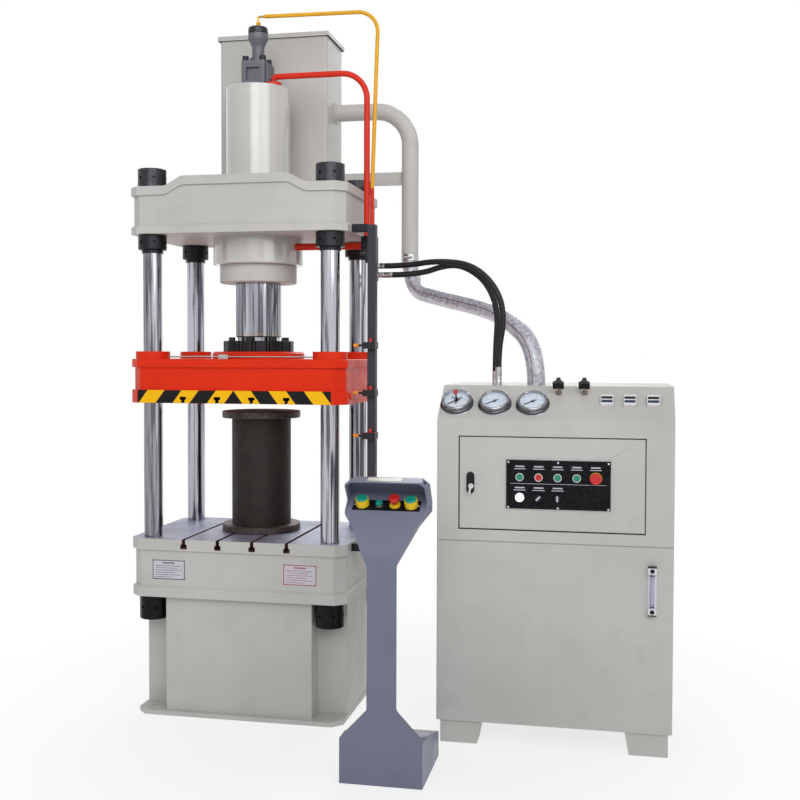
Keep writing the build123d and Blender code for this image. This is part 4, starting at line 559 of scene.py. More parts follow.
FINISHES = {
    "cream": [
        "base_frame", "bed", "crown", "gland_cover", "oil_tank", "fill_pipe", "console_housing", "oil_reservoir",
        "cabinet_feet", "cabinet_door",
    ],
    "gloss_cream": ["cylinder_barrel"],
    "chrome": ["columns"],
    "ram_chrome": ["ram"],
    "oxide": ["column_nuts", "rod_clamp_ring", "socket_bolts", "hose_manifold"],
    "iron": ["valve_block", "valve_bonnet"],
    "brass": ["pilot_fitting"],
    "pipe_yellow": ["pilot_pipe"],
    "pipe_red": ["pressure_pipe", "return_pipe"],
    "rail": ["switch_rail"],
    "black_abs": [
        "low_sensor", "middle_sensor", "high_sensor", "door_lock", "left_selector", "right_selector",
        "left_valve_knob", "right_valve_knob", "left_gauge_needle", "middle_gauge_needle", "right_gauge_needle",
    ],
    "zinc": ["hose_clamp", "hose_ferrules", "grease_tubes"],
    "post": ["support_post"],
    "vermilion": ["slide"],
    "bronze": ["slide_bushings"],
    "panel": ["control_panel", "stand_panel"],
    "green_abs": ["left_green_button", "middle_green_button", "right_green_button"],
    "teal_abs": ["left_palm_button", "right_palm_button", "stand_start_button"],
    "red_abs": ["red_button", "cabinet_stop_button", "stand_stop_button"],
    "bright": ["gauge_cases"],
    "white_abs": ["indicator_blocks", "oil_level_gauge"],
    "stand": ["control_stand"],
    "yellow_abs": ["button_shrouds"],
}

# Edge radius in mm of the nodes whose radius isn't a setting
EDGES = {
    0.8: ["cabinet_door", "oil_level_gauge", "hose_manifold", "valve_block", "indicator_blocks", "switch_rail"],
    1.0: ["cylinder_barrel", "gland_cover", "column_nuts", "rod_clamp_ring", "support_post", "valve_bonnet"],
    0.5: [
        "columns", "ram", "socket_bolts", "pilot_fitting", "pilot_pipe", "pressure_pipe", "return_pipe", "fill_pipe",
        "low_sensor", "middle_sensor", "high_sensor", "hose_clamp", "gauge_cases", "slide_bushings", "grease_tubes",
    ],
    0.4: [
        "door_lock", "control_panel", "left_green_button", "red_button", "middle_green_button",
        "right_green_button", "cabinet_stop_button", "left_selector", "right_selector", "left_valve_knob",
        "right_valve_knob", "stand_panel", "button_shrouds", "left_palm_button", "right_palm_button",
        "stand_start_button", "stand_stop_button",
    ],
}
CASTINGS = ["bed", "slide", "crown"]
PLATE_WORK = ["base_frame", "oil_tank", "console_housing", "oil_reservoir", "cabinet_feet", "control_stand"]


def soften(names, radius):
    """Rounds the edges of CAD nodes by modifiers, as paint, casting and deburring do; the radius is in metres."""
    for name in names:
        node = NODES[name]
        mesh = node.data
        if mesh.has_custom_normals:
            with bpy.context.temp_override(object=node, active_object=node, selected_objects=[node]):
                bpy.ops.mesh.customdata_custom_splitnormals_clear()
        for polygon in mesh.polygons:
            polygon.use_smooth = True
        weld = node.modifiers.new("join faces", "WELD")
        weld.merge_threshold = 0.00002
        bevel = node.modifiers.new("round edges", "BEVEL")
        bevel.width = radius
        bevel.segments = 2
        bevel.limit_method = "ANGLE"
        bevel.angle_limit = math.radians(35)
        bevel.use_clamp_overlap = True
        shading = node.modifiers.new("even shading", "WEIGHTED_NORMAL")
        shading.keep_sharp = False
        shading.weight = 90


def paint(names, material):
    """Gives CAD nodes one material."""
    for name in names:
        mesh = NODES[name].data
        mesh.materials.clear()
        mesh.materials.append(MATERIALS[material])


def paint_faces(name, material, test):
    """Adds a further material on the faces whose centre and normal pass the test."""
    mesh = NODES[name].data
    mesh.materials.append(MATERIALS[material])
    index = len(mesh.materials) - 1
    for polygon in mesh.polygons:
        if test(polygon.center, polygon.normal):
            polygon.material_index = index


def in_slot(x):
    """True within the T-slots' width."""
    return any(abs(x - slot) < 0.0135 for slot in T_SLOTS)


def in_door_groove(centre):
    """True on the edges of the door and of the housing's recess round it."""
    low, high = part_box("cabinet_door")
    inside = low.x - 0.006 < centre.x < high.x + 0.006 and low.z - 0.006 < centre.z < high.z + 0.006
    clear = min(centre.x - low.x, high.x - centre.x, centre.z - low.z, high.z - centre.z) < 0.0001
    return inside and clear and CABINET_FRONT + 0.0025 < centre.y < CABINET_FRONT + 0.03


def dress_frame():
    """Bare and worn faces of the press itself, with painted light and shade on its nuts and a painted shadow under
    the oil tank's lid.
    """
    paint_faces("bed", "table", lambda c, n: n.z > 0.99 and abs(c.z - BED_TOP) < 0.0006)
    paint_faces("bed", "rust", lambda c, n: in_slot(c.x) and 0.676 < c.z < 0.7145 and abs(n.y) < 0.5)
    paint_faces("slide", "oxide", lambda c, n: in_slot(c.x) and 1.2575 < c.z < 1.284 and abs(n.y) < 0.5)
    paint_faces("support_post", "worn", lambda c, n: math.hypot(c.x, c.y - 0.035) > 0.1255)
    paint_faces("pilot_pipe", "pipe_red", lambda c, n: c.z < 2.119)
    paint_faces("switch_rail", "oxide", lambda c, n: c.x < 0.5075)
    # The nuts above the crown are painted lighter, as painted light from above, and those below the bed are painted
    # darker, as painted shade under the bed
    paint_faces("column_nuts", "worn_oxide", lambda c, n: c.z > 2.0)
    paint_faces("column_nuts", "oiled_oxide", lambda c, n: c.z < 1.0)
    cap_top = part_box("valve_bonnet")[1].z
    paint_faces("valve_bonnet", "worn_oxide", lambda c, n: c.z > cap_top - 0.0225)
    paint_faces("valve_bonnet", "seal", lambda c, n: cap_top - 0.0245 < c.z < cap_top - 0.0225)
    lid_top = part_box("oil_tank")[1].z
    # The underside of the tank lid's rim is painted black, as a painted shadow under its edge
    paint_faces("oil_tank", "seal", lambda c, n: n.z < -0.9 and c.z > lid_top - 0.2)
    for name in ("low_sensor", "middle_sensor", "high_sensor"):
        low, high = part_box(name)
        paint_faces(name, "orange_abs", lambda c, n: c.x < low.x + 0.0205)
        paint_faces(name, "red_abs", lambda c, n: c.z > high.z - 0.0141)


def dress_cabinet():
    """Seals, windows and bright rings of the cabinet."""
    console = console_place(0, 0).inverted()

    def is_valve_seat(centre):
        """True on the needle valves' nuts and stems, which stand on the console."""
        local = console @ centre
        return local.z > 0.0008 and 0.13 < local.y < 0.18 and -0.01 < local.x < 0.125

    def is_pane(centre):
        local = console @ centre
        return 0.002 < local.z < 0.0085 and abs(local.y - 0.114) < 0.019

    def is_ring(centre, level, reach):
        """True on what stands out of the control panel near a row of buttons."""
        return centre.y < CABINET_FRONT - 0.0031 and abs(centre.z - level) < reach

    paint_faces("console_housing", "nickel", lambda c, n: is_valve_seat(c))
    for name in ("cabinet_door", "console_housing"):
        paint_faces(name, "seal", lambda c, n: in_door_groove(c))
    low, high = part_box("oil_level_gauge")
    middle, glass_front = (low.z + high.z) / 2, CABINET_FRONT - 0.0035
    paint_faces("oil_level_gauge", "black_abs", lambda c, n: abs(c.z - middle) > 0.0880)
    paint_faces("oil_level_gauge", "lavender", lambda c, n: abs(c.z - middle) < 0.0620 and c.y < glass_front)
    paint_faces("control_panel", "bright", lambda c, n: is_ring(c, 1.005, 0.016) and c.x < 1.36)
    paint_faces("control_panel", "yellow_abs", lambda c, n: is_ring(c, 1.005, 0.03) and c.x > 1.365)
    paint_faces("control_panel", "lamp", lambda c, n: is_ring(c, 0.930, 0.02) and c.x < 1.155)
    paint_faces("indicator_blocks", "window", lambda c, n: is_pane(c))
    for name in ("left_selector", "right_selector"):
        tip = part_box(name)[0].y
        paint_faces(name, "print_white", lambda c, n: c.y < tip + 0.0008)
    for name in ("door_lock", "left_selector", "right_selector"):
        paint_faces(name, "zinc", lambda c, n: c.y > CABINET_FRONT + 0.0005)


def dress_stand():
    """Black skirts of the stand's buttons."""
    strip = strip_place(0).inverted()
    for name, rim in (("left_palm_button", 0.014), ("right_palm_button", 0.014), ("stand_start_button", 0.0085)):
        paint_faces(name, "black_abs", lambda c, n: (strip @ c).z < rim)


def dress_nodes(sizes):
    """Finishes and rounded edges of every CAD node."""
    for material, names in FINISHES.items():
        paint(names, material)
    dress_frame()
    dress_cabinet()
    dress_stand()
    soften(CASTINGS, sizes.casting_edge)
    soften(PLATE_WORK, sizes.plate_edge)
    for millimetres, names in EDGES.items():
        soften(names, millimetres / 1000)


# ---- stage ----

# The camera of the photograph: its place, and its right and up directions
LENS_MM, SHIFT_Y = 49.33, -0.01128
CAMERA_PLACE = (1.50442, -4.35830, 1.45239)
CAMERA_RIGHT = (0.9792005, 0.20287738, 0.00267227)
CAMERA_UP = (-0.00938248, 0.03212067, 0.99943996)

# The floor in metres: half its width, the middle of the machine, and where its fade starts and ends from there
FLOOR_HALF = 4.5
FLOOR_MIDDLE = (0.6, 0.0, 0.0)
FADE_REACH = (0.8, 2.0)


def background_rays(tree):
    """1 for rays that show the background: the camera's own, and those by way of metal or glass."""
    rays = add(tree, "ShaderNodeLightPath").outputs
    shown = add(
        tree, "ShaderNodeMath", [rays["Is Glossy Ray"], rays["Is Transmission Ray"]], operation="MAXIMUM"
    ).outputs[0]
    return add(tree, "ShaderNodeMath", [rays["Is Camera Ray"], shown], operation="MAXIMUM").outputs[0]


def build_world(settings):
    """White background; soft daylight, stronger from above, falls on the machine."""
    world = bpy.data.worlds.new("studio")
    bpy.context.scene.world = world
    world.use_nodes = True
    tree = world.node_tree
    tree.nodes.clear()
    direction = add(tree, "ShaderNodeTexCoord").outputs["Generated"]
    height = add(tree, "ShaderNodeSeparateXYZ", [direction]).outputs["Z"]
    low, high = 0.8 * settings.sky_strength, 1.08 * settings.sky_strength
    strength = add(tree, "ShaderNodeMapRange", [height, 0.1, 0.9, low, high]).outputs[0]
    daylight = add(tree, "ShaderNodeBackground", {"Color": "#f6f8ff", "Strength": strength}).outputs[0]
    white = add(tree, "ShaderNodeBackground", {"Color": "#ffffff", "Strength": 1.0}).outputs[0]
    final = add(tree, "ShaderNodeMixShader", [background_rays(tree), daylight, white]).outputs[0]
    add(tree, "ShaderNodeOutputWorld", {"Surface": final})


def build_lamps(settings):
    """Three large soft lamps."""
    for name, place, aim, size, power in (
        ("key", (1.2, -5.0, 4.4), (0.4, 0.0, 2.6), 4.0, settings.key_power),
        ("fill", (4.4, -4.4, 3.6), (0.5, -0.2, 1.7), 3.0, settings.fill_power),
        ("back", (0.4, 4.0, 4.4), (0.4, 0.0, 1.4), 3.0, settings.back_power),
    ):
        light = bpy.data.lights.new(name, "AREA")
        light.size = size
        light.energy = power
        light.spread = math.radians(65)
        lamp = bpy.data.objects.new(name, light)
        bpy.context.scene.collection.objects.link(lamp)
        lamp.location = place
        lamp.rotation_euler = (Vector(aim) - Vector(place)).to_track_quat("-Z", "Y").to_euler()


def build_floor():
    """Smooth white vinyl that keeps the machine's shadow and fades into the backdrop's white away from it."""
    working = bmesh.new()
    bmesh.ops.create_grid(working, x_segments=8, y_segments=8, size=FLOOR_HALF)
    mesh = finish_mesh("floor", working)
    floor = bpy.data.objects.new("floor", mesh)
    bpy.context.scene.collection.objects.link(floor)
    material = bpy.data.materials.new("white studio floor")
    material.use_nodes = True
    tree = material.node_tree
    tree.nodes.clear()
    matt = add(tree, "ShaderNodeBsdfDiffuse", {"Color": "#f7f7f7"}).outputs[0]
    glow = add(tree, "ShaderNodeEmission", {"Color": "#ffffff", "Strength": 1.0}).outputs[0]
    place = add(tree, "ShaderNodeTexCoord").outputs["Object"]
    shifted = add(tree, "ShaderNodeVectorMath", [place, FLOOR_MIDDLE], operation="SUBTRACT").outputs[0]
    distance = add(tree, "ShaderNodeVectorMath", [shifted], operation="LENGTH").outputs["Value"]
    seen_fade = add(tree, "ShaderNodeMapRange", [distance, *FADE_REACH, 0.74, 1.0]).outputs[0]
    lit_fade = add(tree, "ShaderNodeMapRange", [distance, *FADE_REACH, 0.25, 0.65]).outputs[0]
    fade = add(tree, "ShaderNodeMix", {0: background_rays(tree), 2: lit_fade, 3: seen_fade}).outputs[0]
    mixed = add(tree, "ShaderNodeMixShader", [fade, matt, glow]).outputs[0]
    add(tree, "ShaderNodeOutputMaterial", [mixed])
    mesh.materials.append(material)


def build_camera():
    """The photograph's own view."""
    lens = bpy.data.cameras.new("camera")
    lens.sensor_width = 36.0
    lens.sensor_fit = "HORIZONTAL"
    lens.lens = LENS_MM
    lens.shift_y = SHIFT_Y
    camera = bpy.data.objects.new("camera", lens)
    bpy.context.scene.collection.objects.link(camera)
    right, up = Vector(CAMERA_RIGHT), Vector(CAMERA_UP)
    turn = Matrix((right, up, right.cross(up))).transposed().to_4x4()
    camera.matrix_world = Matrix.Translation(CAMERA_PLACE) @ turn
    bpy.context.scene.camera = camera


# ---- hoses ----

SUCTION_ROUTE = [
    (0.574, 0.340, 1.888),
    (0.574, 0.340, 1.735),
    (0.727, 0.218, 1.691),
    (0.919, 0.064, 1.645),
    (1.038, -0.030, 1.596),
    (1.163, -0.130, 1.482),
    (1.163, -0.130, 1.335),
]
UPPER_ROUTE = [
    (0.548, -0.045, 1.8075),
    (0.640, -0.045, 1.8075),
    (0.768, -0.096, 1.821),
    (0.919, -0.150, 1.801),
    (1.017, -0.178, 1.705),
    (1.046, -0.180, 1.594),
    (1.022, -0.165, 1.476),
    (1.022, -0.165, 1.405),
]
LOWER_ROUTE = [
    (0.580, -0.045, 1.7715),
    (0.688, -0.045, 1.7715),
    (0.801, -0.082, 1.8045),
    (0.880, -0.105, 1.798),
    (0.971, -0.123, 1.7335),
    (1.016, -0.132, 1.6185),
    (1.006, -0.130, 1.474),
    (1.006, -0.130, 1.389),
]

# A crimped hose end: its neck and its sleeve with two crimp rings, spaced for a length of 60 mm; 1.0 is its far end
FERRULE = [
    (0.0, 0.0), (0.0085, 0.0), (0.0085, 0.006), (0.0118, 0.0065), (0.0122, 0.018), (0.0118, 0.019),
    (0.0122, 0.020), (0.0122, 0.027), (0.0118, 0.028), (0.0122, 0.029), (0.0122, 1.0), (0.0, 1.0),
]


def route_curve(name, route, radius=0.0):
    """One smooth spline whose control points are the route's points."""
    curve = bpy.data.curves.new(name, "CURVE")
    curve.dimensions = "3D"
    curve.resolution_u = 16
    curve.bevel_depth = radius
    curve.bevel_resolution = 8
    curve.use_fill_caps = radius > 0
    spline = curve.splines.new("NURBS")
    spline.points.add(len(route) - 1)
    for point, place in zip(spline.points, route):
        point.co = (*place, 1.0)
    spline.order_u = 3
    spline.use_endpoint_u = True
    return curve


def route_points(route):
    """Points along a route's spline, read from the curve itself."""
    holder = bpy.data.objects.new("route", route_curve("route", route))
    line = bpy.data.meshes.new_from_object(holder)
    points = [vertex.co.copy() for vertex in line.vertices]
    bpy.data.objects.remove(holder)
    bpy.data.meshes.remove(line)
    return points


def bead(points, side, offset, radius, steps=8):
    """Thin round line that runs along points, offset to one side of them."""
    working = bmesh.new()
    side = Vector(side)
    rings = []
    for index, point in enumerate(points):
        before, after = points[max(index - 1, 0)], points[min(index + 1, len(points) - 1)]
        along = (after - before).normalized()
        across = (side - along * along.dot(side)).normalized()
        third = along.cross(across)
        centre = point + across * offset
        ring = []
        for k in range(steps):
            angle = 2 * math.pi * k / steps
            ring.append(working.verts.new(centre + radius * (math.cos(angle) * across + math.sin(angle) * third)))
        rings.append(ring)
    for low, high in zip(rings, rings[1:]):
        for k in range(steps):
            working.faces.new((low[k], low[(k + 1) % steps], high[(k + 1) % steps], high[k]))
    return working


def build_hoses(sizes):
    """Three hoses with the tracer line of the clear one, and the crimped ends of the other two."""
    suction_diameter, pressure_diameter = round(sizes.suction_diameter, 5), round(sizes.pressure_diameter, 5)
    hoses = []
    for name, route, diameter, material, node, slot in (
        ("suction_hose_tube", SUCTION_ROUTE, suction_diameter, "vinyl", "suction_hose", "clear_hose"),
        ("upper_pressure_tube", UPPER_ROUTE, pressure_diameter, "rubber", "pressure_hose_upper", "black_rubber"),
        ("lower_pressure_tube", LOWER_ROUTE, pressure_diameter, "rubber", "pressure_hose_lower", "black_rubber"),
    ):
        curve = route_curve(name, route, diameter / 2)
        curve.materials.append(MATERIALS[material])
        hose = bpy.data.objects.new(name, curve)
        bpy.context.scene.collection.objects.link(hose)
        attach(hose, "press")
        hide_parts(node)
        hoses.append((hose, route, diameter))
    line = bead(route_points(SUCTION_ROUTE), (-0.35, -1.0, 0.15), suction_diameter / 2 - 0.0002, 0.0014)
    tracer = new_object("suction_hose_tracer", finish_mesh("tracer", line), ["tracer"], "press", 60)
    for hose, route, diameter in hoses:
        points = route_points(route)
    ends = bmesh.new()
    for spot, axis, length in (
        ((0.514, -0.045, 1.8075), "X", 0.034),
        ((0.514, -0.045, 1.7715), "X", 0.066),
        ((1.022, -0.165, 1.335), "Z", 0.070),
        ((1.006, -0.130, 1.335), "Z", 0.054),
    ):
        end = lathe([(r, length if z == 1.0 else z * length / 0.06) for r, z in FERRULE], 32)
        nut = 0.010 * length / 0.06
        lathe([(0.0, 0.0), (0.0125, 0.0), (0.0125, nut), (0.0, nut)], 6, end)
        place = Matrix.Translation(spot)
        end.transform(place @ Matrix.Rotation(math.pi / 2, 4, "Y") if axis == "X" else place)
        join(ends, end)
    piece = new_object(
        "crimped_hose_ends", finish_mesh("crimped_ends", ends), ["zinc"], "press", 40
    )
    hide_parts("hose_ferrules")


# ---- slide and bed dressing ----


def build_tape():
    """Warning tape on the slide's lower flange, cut round the mouths of the T-slots."""
    neck, head = 0.0072, 0.0132
    mouths = [slot + edge for slot in T_SLOTS for edge in (-head, -neck, neck, head)]
    across = [-0.405, *mouths, 0.392]
    levels = [SLIDE_BOTTOM + rise for rise in (0.0006, 0.014, 0.026, 0.0514)]
    working = bmesh.new()
    grid = [[working.verts.new((x, BEAM_FRONT - 0.0001, z)) for z in levels] for x in across]
    for column, (left, right) in enumerate(zip(grid, grid[1:])):
        # A slot's mouth stays open: the lowest row over its neck, and the middle row over the whole of its head
        bare_rows = ((), (1,), (0, 1), (1,))[column % 4]
        for row in range(len(levels) - 1):
            if row not in bare_rows:
                working.faces.new((left[row], right[row], right[row + 1], left[row + 1]))
    made = bmesh.ops.extrude_face_region(working, geom=working.faces[:])
    moved = [v for v in made["geom"] if isinstance(v, bmesh.types.BMVert)]
    bmesh.ops.translate(working, vec=(0, -0.0004, 0), verts=moved)
    in_order(working.verts, lambda vertex: vertex.co)
    in_order(working.faces, lambda face: face.calc_center_median())
    new_object("slide_warning_tape", finish_mesh("tape", working), ["tape"], "slide_assembly")


def plate_mesh(name, width, height, place):
    """Foil plate with a printed border, empty ruled lines and a rivet in each corner."""
    working = bmesh.new()
    slab(working, (width, height, 0.0012), (0, 0, 0.0006), 0.0004)
    rim, line, top = 0.0038, 0.0032, height / 2
    for x, y, w, h in (
        (0, top - rim, width - rim, line),
        (0, rim - top, width - rim, line),
        (width / 2 - rim, 0, line, height - rim),
        (rim - width / 2, 0, line, height - rim),
    ):
        slab(working, (w, h, 0.0003), (x, y, 0.0013), index=1)
    slab(working, (width * 0.36, 0.0046, 0.0002), (0, top - 0.0135, 0.0013), index=1)
    for row, share in enumerate((0.78, 0.66, 0.80, 0.58, 0.74, 0.50)):
        y = top - 0.025 - row * (height - 0.037) / 5
        slab(working, (width * share, 0.0017, 0.0002), (width * (share - 0.80) / 2, y, 0.0013), index=1)
    for x in (-1, 1):
        for y in (-1, 1):
            spot = (x * (width / 2 - 0.008), y * (top - 0.008), 0.0012)
            lathe_at(working, [(0.0022, 0.0), (0.0018, 0.0009), (0.0, 0.0012)], spot, 16, 2)
    return finish_mesh(name, working, place)


def build_plates():
    """Two blank data plates on the bed's front."""
    web = BEAM_FRONT + 0.009
    for name, x, z, width, height, border in (
        ("left_bed_plate", -0.2795, 0.591, 0.141, 0.082, "plate_dark"),
        ("right_bed_plate", 0.265, 0.592, 0.138, 0.084, "plate_red"),
    ):
        place = Matrix.Translation((x, web, z)) @ Matrix.Rotation(math.pi / 2, 4, "X")
        mesh = plate_mesh(border, width, height, place)
        new_object(name, mesh, ["plate_silver", border, "zinc"], "press")


# ---- cabinet dressing ----

GAUGES = {"left": -0.366, "middle": -0.223, "right": -0.082}
GAUGE_S = 0.086
DIAL_LEVEL = 0.0182
DIAL_NUMBERS = ("0", "5", "10", "15", "20", "25")
BEZEL = [
    (0.0470, 0.0185), (0.0470, 0.0262), (0.0490, 0.0285), (0.0525, 0.0285), (0.0552, 0.0265), (0.0560, 0.0225),
    (0.0562, 0.0130),
]
FLANGE = [(0.0562, 0.0130), (0.0585, 0.0105), (0.0612, 0.0095), (0.0625, 0.0078), (0.0625, 0.0002)]
SHOULDER = [(0.0360 + 0.0109 * math.cos(a / 10), 0.0442 + 0.0109 * math.sin(a / 10)) for a in range(0, 16, 3)]
FLAT_GLASS = [(0.0, 0.0252), (0.0469, 0.0252)]
DOME_GLASS = [(0.0469, 0.0252), *SHOULDER, (0.0, 0.0552)]


def dial_mesh(place):
    """White dial with a scale over three quarters of a turn."""
    working = lathe([(0.0, 0.0), (0.0467, 0.0)], 64)
    start, sweep, marks = 225, 270, 50
    for mark in range(marks + 1):
        angle = math.radians(start - sweep * mark / marks)
        length, width = (0.0062, 0.0009) if mark % 5 == 0 else (0.0036, 0.0005)
        middle = 0.0425 - length / 2
        spot = (middle * math.cos(angle), middle * math.sin(angle), 0.00015)
        slab(working, (length, width, 0.0002), spot, 0.0, angle, 1)
    for index, text in enumerate(DIAL_NUMBERS):
        angle = math.radians(start - sweep * index / (len(DIAL_NUMBERS) - 1))
        digits(working, text, 0.0072, (0.0315 * math.cos(angle), 0.0315 * math.sin(angle), 0.0003), 1)
    return finish_mesh("dial", working, place)


def build_gauges():
    """Bezels, dials and glasses of the three gauges; the first has a dome with a resetting knob."""
    for side, x in GAUGES.items():
        place = console_place(x, GAUGE_S)
        rings = finish_mesh("bezel", lathe(FLANGE, 72, lathe(BEZEL, 72), 1), place)
        new_object(f"{side}_gauge_bezel", rings, ["dim_chrome", "dark_chrome"], "press", 30)
        dial = dial_mesh(place @ Matrix.Translation((0, 0, DIAL_LEVEL)))
        new_object(f"{side}_gauge_dial", dial, ["dial", "plate_dark"], "press")
        glass = finish_mesh("glass", lathe(DOME_GLASS if side == "left" else FLAT_GLASS, 64), place)
        new_object(f"{side}_gauge_glass", glass, ["glass"], "press", 60)
    place = console_place(GAUGES["left"], GAUGE_S)
    stalk = lathe([(0.0045, 0.0225), (0.0045, 0.0300), (0.0030, 0.0310), (0.0030, 0.0560)], 24)
    for angle in (0.5, 2.6, 4.7):
        slab(stalk, (0.026, 0.004, 0.002), (0.010 * math.cos(angle), 0.010 * math.sin(angle), 0.0245), 0.0006, angle)
    new_object("reset_stalk", finish_mesh("stalk", stalk, place), ["black_abs"], "press", 40)
    # Windows of each indicator: a tall black one above a dark blue one
    panes = bmesh.new()
    for x in (0.188, 0.271, 0.355):
        for s, height, index in ((0.1235, 0.0140, 0), (0.1035, 0.0130, 1)):
            pane = bmesh.new()
            slab(pane, (0.0400, height, 0.0004), (0, 0, 0.0102), index=index)
            pane.transform(console_place(x, s))
            join(panes, pane)
    new_object("indicator_panes", finish_mesh("panes", panes), ["window", "blue_window"], "press")
    knob = [(0.0, 0.0535), (0.0065, 0.0540), (0.0082, 0.0575), (0.0082, 0.0615), (0.0062, 0.0655), (0.0, 0.0665)]
    mesh = finish_mesh("knob", lathe(knob, 32), place)
    new_object("reset_knob", mesh, ["red_abs"], "press", 40)


def build_panel_dressing():
    """Screws, blank label bars, the dividing line and the rim of the control panel, and the key in its door."""
    front = front_place(0, 0)
    screws = bmesh.new()
    for x in (-0.164, 0.017, 0.198):
        for z in (1.0595, 0.8935):
            lathe_at(screws, [(0.0, 0.0016), (0.0022, 0.0014), (0.0036, 0.0004), (0.0037, 0.0)], (x, z, PANEL_FACE))
    mesh = finish_mesh("screws", screws, front)
    new_object("panel_screws", mesh, ["white_abs"], "door", 40)
    bars = bmesh.new()
    print_level = PANEL_FACE + 0.0001
    columns = [-0.122, -0.053, 0.016, 0.0845, 0.1525]
    for x in columns:
        slab(bars, (0.034, 0.0050, 0.0003), (x, 1.0440, print_level))
        slab(bars, (0.042, 0.0028, 0.0003), (x, 1.0350, print_level))
    for x in columns[:3]:
        slab(bars, (0.036, 0.0050, 0.0003), (x, 0.9660, print_level))
        slab(bars, (0.044, 0.0028, 0.0003), (x, 0.9570, print_level))
    slab(bars, (0.347, 0.0014, 0.0003), (0.017, 0.981, print_level))
    new_object("panel_label_bars", finish_mesh("bars", bars, front), ["print_white"], "door")
    rim = bmesh.new()
    width, height, x, z, line = 0.381, 0.183, 0.017, 0.978, 0.0016
    inset = line / 2
    slab(rim, (width, line, 0.0004), (x, z + height / 2 - inset, print_level))
    slab(rim, (width, line, 0.0004), (x, z - height / 2 + inset, print_level))
    slab(rim, (line, height, 0.0004), (x - width / 2 + inset, z, print_level))
    slab(rim, (line, height, 0.0004), (x + width / 2 - inset, z, print_level))
    new_object("panel_rim", finish_mesh("rim", rim, front), ["zinc"], "door")
    # The key in the lever: a hexagon with a hole, its blade hanging to the lower left
    key = bmesh.new()
    head = [(0.0026, 0.0144), (0.0026, 0.0176), (0.0105, 0.0176), (0.0105, 0.0144), (0.0026, 0.0144)]
    lathe_at(key, head, (0.004, -0.011, 0), 6)
    slab(key, (0.0100, 0.032, 0.0024), (-0.0015, -0.027, 0.0157), 0.0008, -0.2)
    mesh = finish_mesh("key", key, front_place(-0.304, 0.9795))
    new_object("door_key", mesh, ["bright"], "lock", 40)


def build_oil_gauge():
    """Caps, limit marks and screws of the reservoir's level gauge."""
    place = front_place(0.355, 0.607)
    trim, screws = bmesh.new(), bmesh.new()
    screw = [(0.0, 0.0262), (0.0034, 0.0262), (0.0040, 0.0246), (0.0075, 0.0250), (0.0080, 0.0220)]
    for side in (-1, 1):
        slab(trim, (0.0306, 0.0045, 0.0226), (0, side * 0.0863, 0.0114), 0.0008)
        slab(trim, (0.0150, 0.0035, 0.0006), (0, side * 0.0560, 0.0186))
        slab(trim, (0.0150, 0.0012, 0.0006), (0, side * 0.0490, 0.0186))
        lathe_at(screws, screw, (0, side * 0.0735, 0), 16)
    new_object("level_gauge_trim", finish_mesh("trim", trim, place), ["black_abs"], "press", 40)
    new_object("level_gauge_screws", finish_mesh("screws", screws, place), ["oxide"], "press", 40)


# ---- stand dressing ----


def build_stand_dressing():
    """Screws at the strip's ends, the start button's holder and a bare label on the hood."""
    screws = bmesh.new()
    for x in (-0.112, 0.112):
        lathe_at(screws, [(0.0, 0.0046), (0.0020, 0.0044), (0.0028, 0.0030)], (x, 0, 0))
    mesh = finish_mesh("screws", screws, strip_place(0))
    new_object("strip_screws", mesh, ["white_abs"], "press", 40)
    collar = lathe([(0.0060, 0.0030), (0.0135, 0.0030), (0.0135, 0.0042), (0.0128, 0.0047), (0.0060, 0.0047)], 48)
    mesh = finish_mesh("collar", collar, strip_place(-0.026))
    new_object("start_button_collar", mesh, ["zinc"], "press", 40)
    spot = Matrix.Translation((STAND_X - 0.007, STAND_FRONT + HOOD_Y, HOOD_Z))
    label = bmesh.new()
    slab(label, (0.119, 0.038, 0.0006), (0, 0, 0.0004))
    mesh = finish_mesh("label", label, spot @ Matrix.Rotation(math.atan2(HOOD_RISE, HOOD_RUN), 4, "X"))
    new_object("hood_label", mesh, ["ivory"], "press")


# ---- the add-on ----


class PressLightSettings(bpy.types.PropertyGroup):
    sky_strength: FloatProperty(name="Sky", description="Brightness of the white surroundings", default=0.56, min=0.0)
    key_power: FloatProperty(
        name="Key lamp", description="Large lamp above the camera", default=29.0, min=0.0, subtype="POWER"
    )
    fill_power: FloatProperty(
        name="Fill lamp", description="Lamp at the right", default=12.0, min=0.0, subtype="POWER"
    )
    back_power: FloatProperty(name="Back lamp", description="Lamp behind", default=22.0, min=0.0, subtype="POWER")


class PressPaintSettings(bpy.types.PropertyGroup):
    body_colour: FloatVectorProperty(
        name="Frame paint", description="Enamel of the frame and cabinet", subtype="COLOR", default=srgb(CREAM)[:3]
    )
    slide_colour: FloatVectorProperty(
        name="Slide paint", description="Enamel of the slide", subtype="COLOR", default=srgb(VERMILION)[:3]
    )


class PressSizeSettings(bpy.types.PropertyGroup):
    casting_edge: FloatProperty(
        name="Casting edge", description="Edge radius of the castings", default=0.003, min=0.0, unit="LENGTH"
    )
    plate_edge: FloatProperty(
        name="Plate edge", description="Edge radius of the welded plate work", default=0.002, min=0.0, unit="LENGTH"
    )
    suction_diameter: FloatProperty(
        name="Suction hose", description="Outside diameter of the clear hose", default=0.070, min=0.01, unit="LENGTH"
    )
    pressure_diameter: FloatProperty(
        name="Pressure hoses", description="Outside diameter of the black hoses", default=0.023, min=0.005,
        unit="LENGTH",
    )


class PRESS_OT_stage(bpy.types.Operator):
    """Sets the floor, the lamps, the surroundings and the camera"""

    bl_idname = "press.stage"
    bl_label = "Stage"

    def execute(self, context):
        context.scene.view_settings.view_transform = "Standard"
        build_world(context.scene.press_light)
        build_lamps(context.scene.press_light)
        build_floor()
        build_camera()
        return {"FINISHED"}


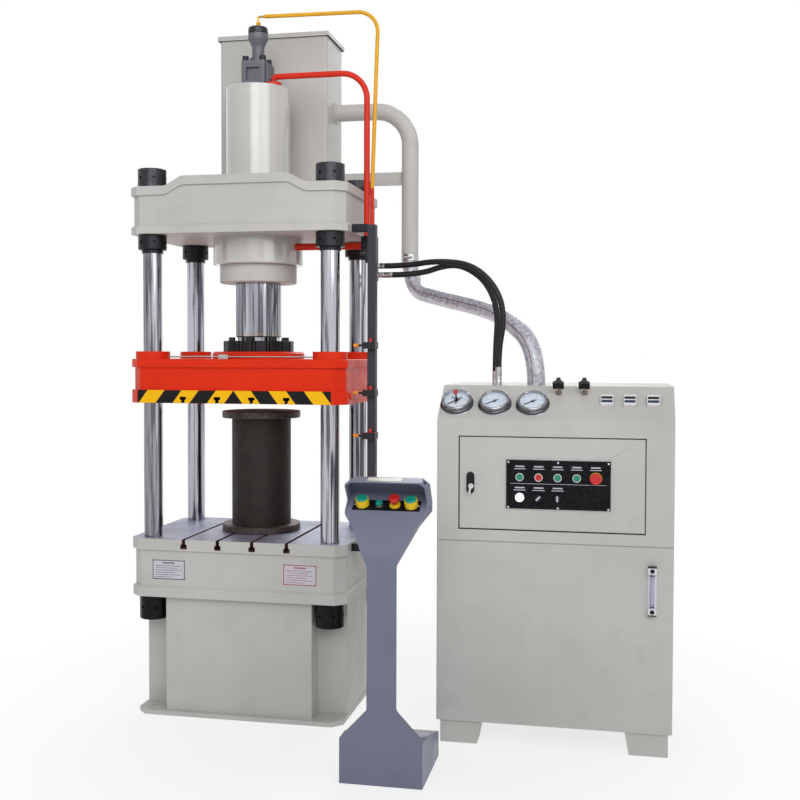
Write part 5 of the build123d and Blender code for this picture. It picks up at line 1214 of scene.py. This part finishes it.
class PRESS_OT_finishes(bpy.types.Operator):
    """Paints and plates the CAD nodes and rounds their edges"""

    bl_idname = "press.finishes"
    bl_label = "Finishes"

    def execute(self, context):
        make_materials(context.scene.press_paint)
        dress_nodes(context.scene.press_sizes)
        return {"FINISHED"}


class PRESS_OT_hoses(bpy.types.Operator):
    """Lays the suction hose and the two pressure hoses"""

    bl_idname = "press.hoses"
    bl_label = "Hoses"

    def execute(self, context):
        build_hoses(context.scene.press_sizes)
        return {"FINISHED"}


class PRESS_OT_slide_and_bed(bpy.types.Operator):
    """Adds the warning tape and the bed's plates"""

    bl_idname = "press.slide_and_bed"
    bl_label = "Slide and bed"

    def execute(self, context):
        build_tape()
        build_plates()
        return {"FINISHED"}


class PRESS_OT_gauges(bpy.types.Operator):
    """Adds the bezels, dials and glasses of the three gauges"""

    bl_idname = "press.gauges"
    bl_label = "Gauges"

    def execute(self, context):
        build_gauges()
        return {"FINISHED"}


class PRESS_OT_cabinet(bpy.types.Operator):
    """Dresses the control panel, the lock and the oil level gauge"""

    bl_idname = "press.cabinet"
    bl_label = "Cabinet"

    def execute(self, context):
        build_panel_dressing()
        build_oil_gauge()
        return {"FINISHED"}


class PRESS_OT_stand(bpy.types.Operator):
    """Dresses the control stand"""

    bl_idname = "press.stand"
    bl_label = "Control stand"

    def execute(self, context):
        build_stand_dressing()
        return {"FINISHED"}


SETTINGS = {"press_light": PressLightSettings, "press_paint": PressPaintSettings, "press_sizes": PressSizeSettings}
STEPS = (
    PRESS_OT_stage, PRESS_OT_finishes, PRESS_OT_hoses, PRESS_OT_slide_and_bed, PRESS_OT_gauges, PRESS_OT_cabinet,
    PRESS_OT_stand,
)


class PRESS_PT_panel(bpy.types.Panel):
    """Lists the settings and the steps"""

    bl_label = "Hydraulic press"
    bl_space_type = "VIEW_3D"
    bl_region_type = "UI"
    bl_category = "Press"

    def draw(self, context):
        column = self.layout.column()
        for setting in SETTINGS:
            group = getattr(context.scene, setting)
            for name in group.__annotations__:
                column.prop(group, name)
        for step in STEPS:
            column.operator(step.bl_idname)


CLASSES = (*SETTINGS.values(), *STEPS, PRESS_PT_panel)


def register():
    for item in CLASSES:
        bpy.utils.register_class(item)
    for setting, group in SETTINGS.items():
        setattr(bpy.types.Scene, setting, PointerProperty(type=group))


def unregister():
    for setting in SETTINGS:
        delattr(bpy.types.Scene, setting)
    for item in reversed(CLASSES):
        bpy.utils.unregister_class(item)


def main():
    register()
    for step in STEPS:
        group, name = step.bl_idname.split(".")
        getattr(getattr(bpy.ops, group), name)()
    bpy.context.view_layer.update()


if __name__ == "__main__":
    main()
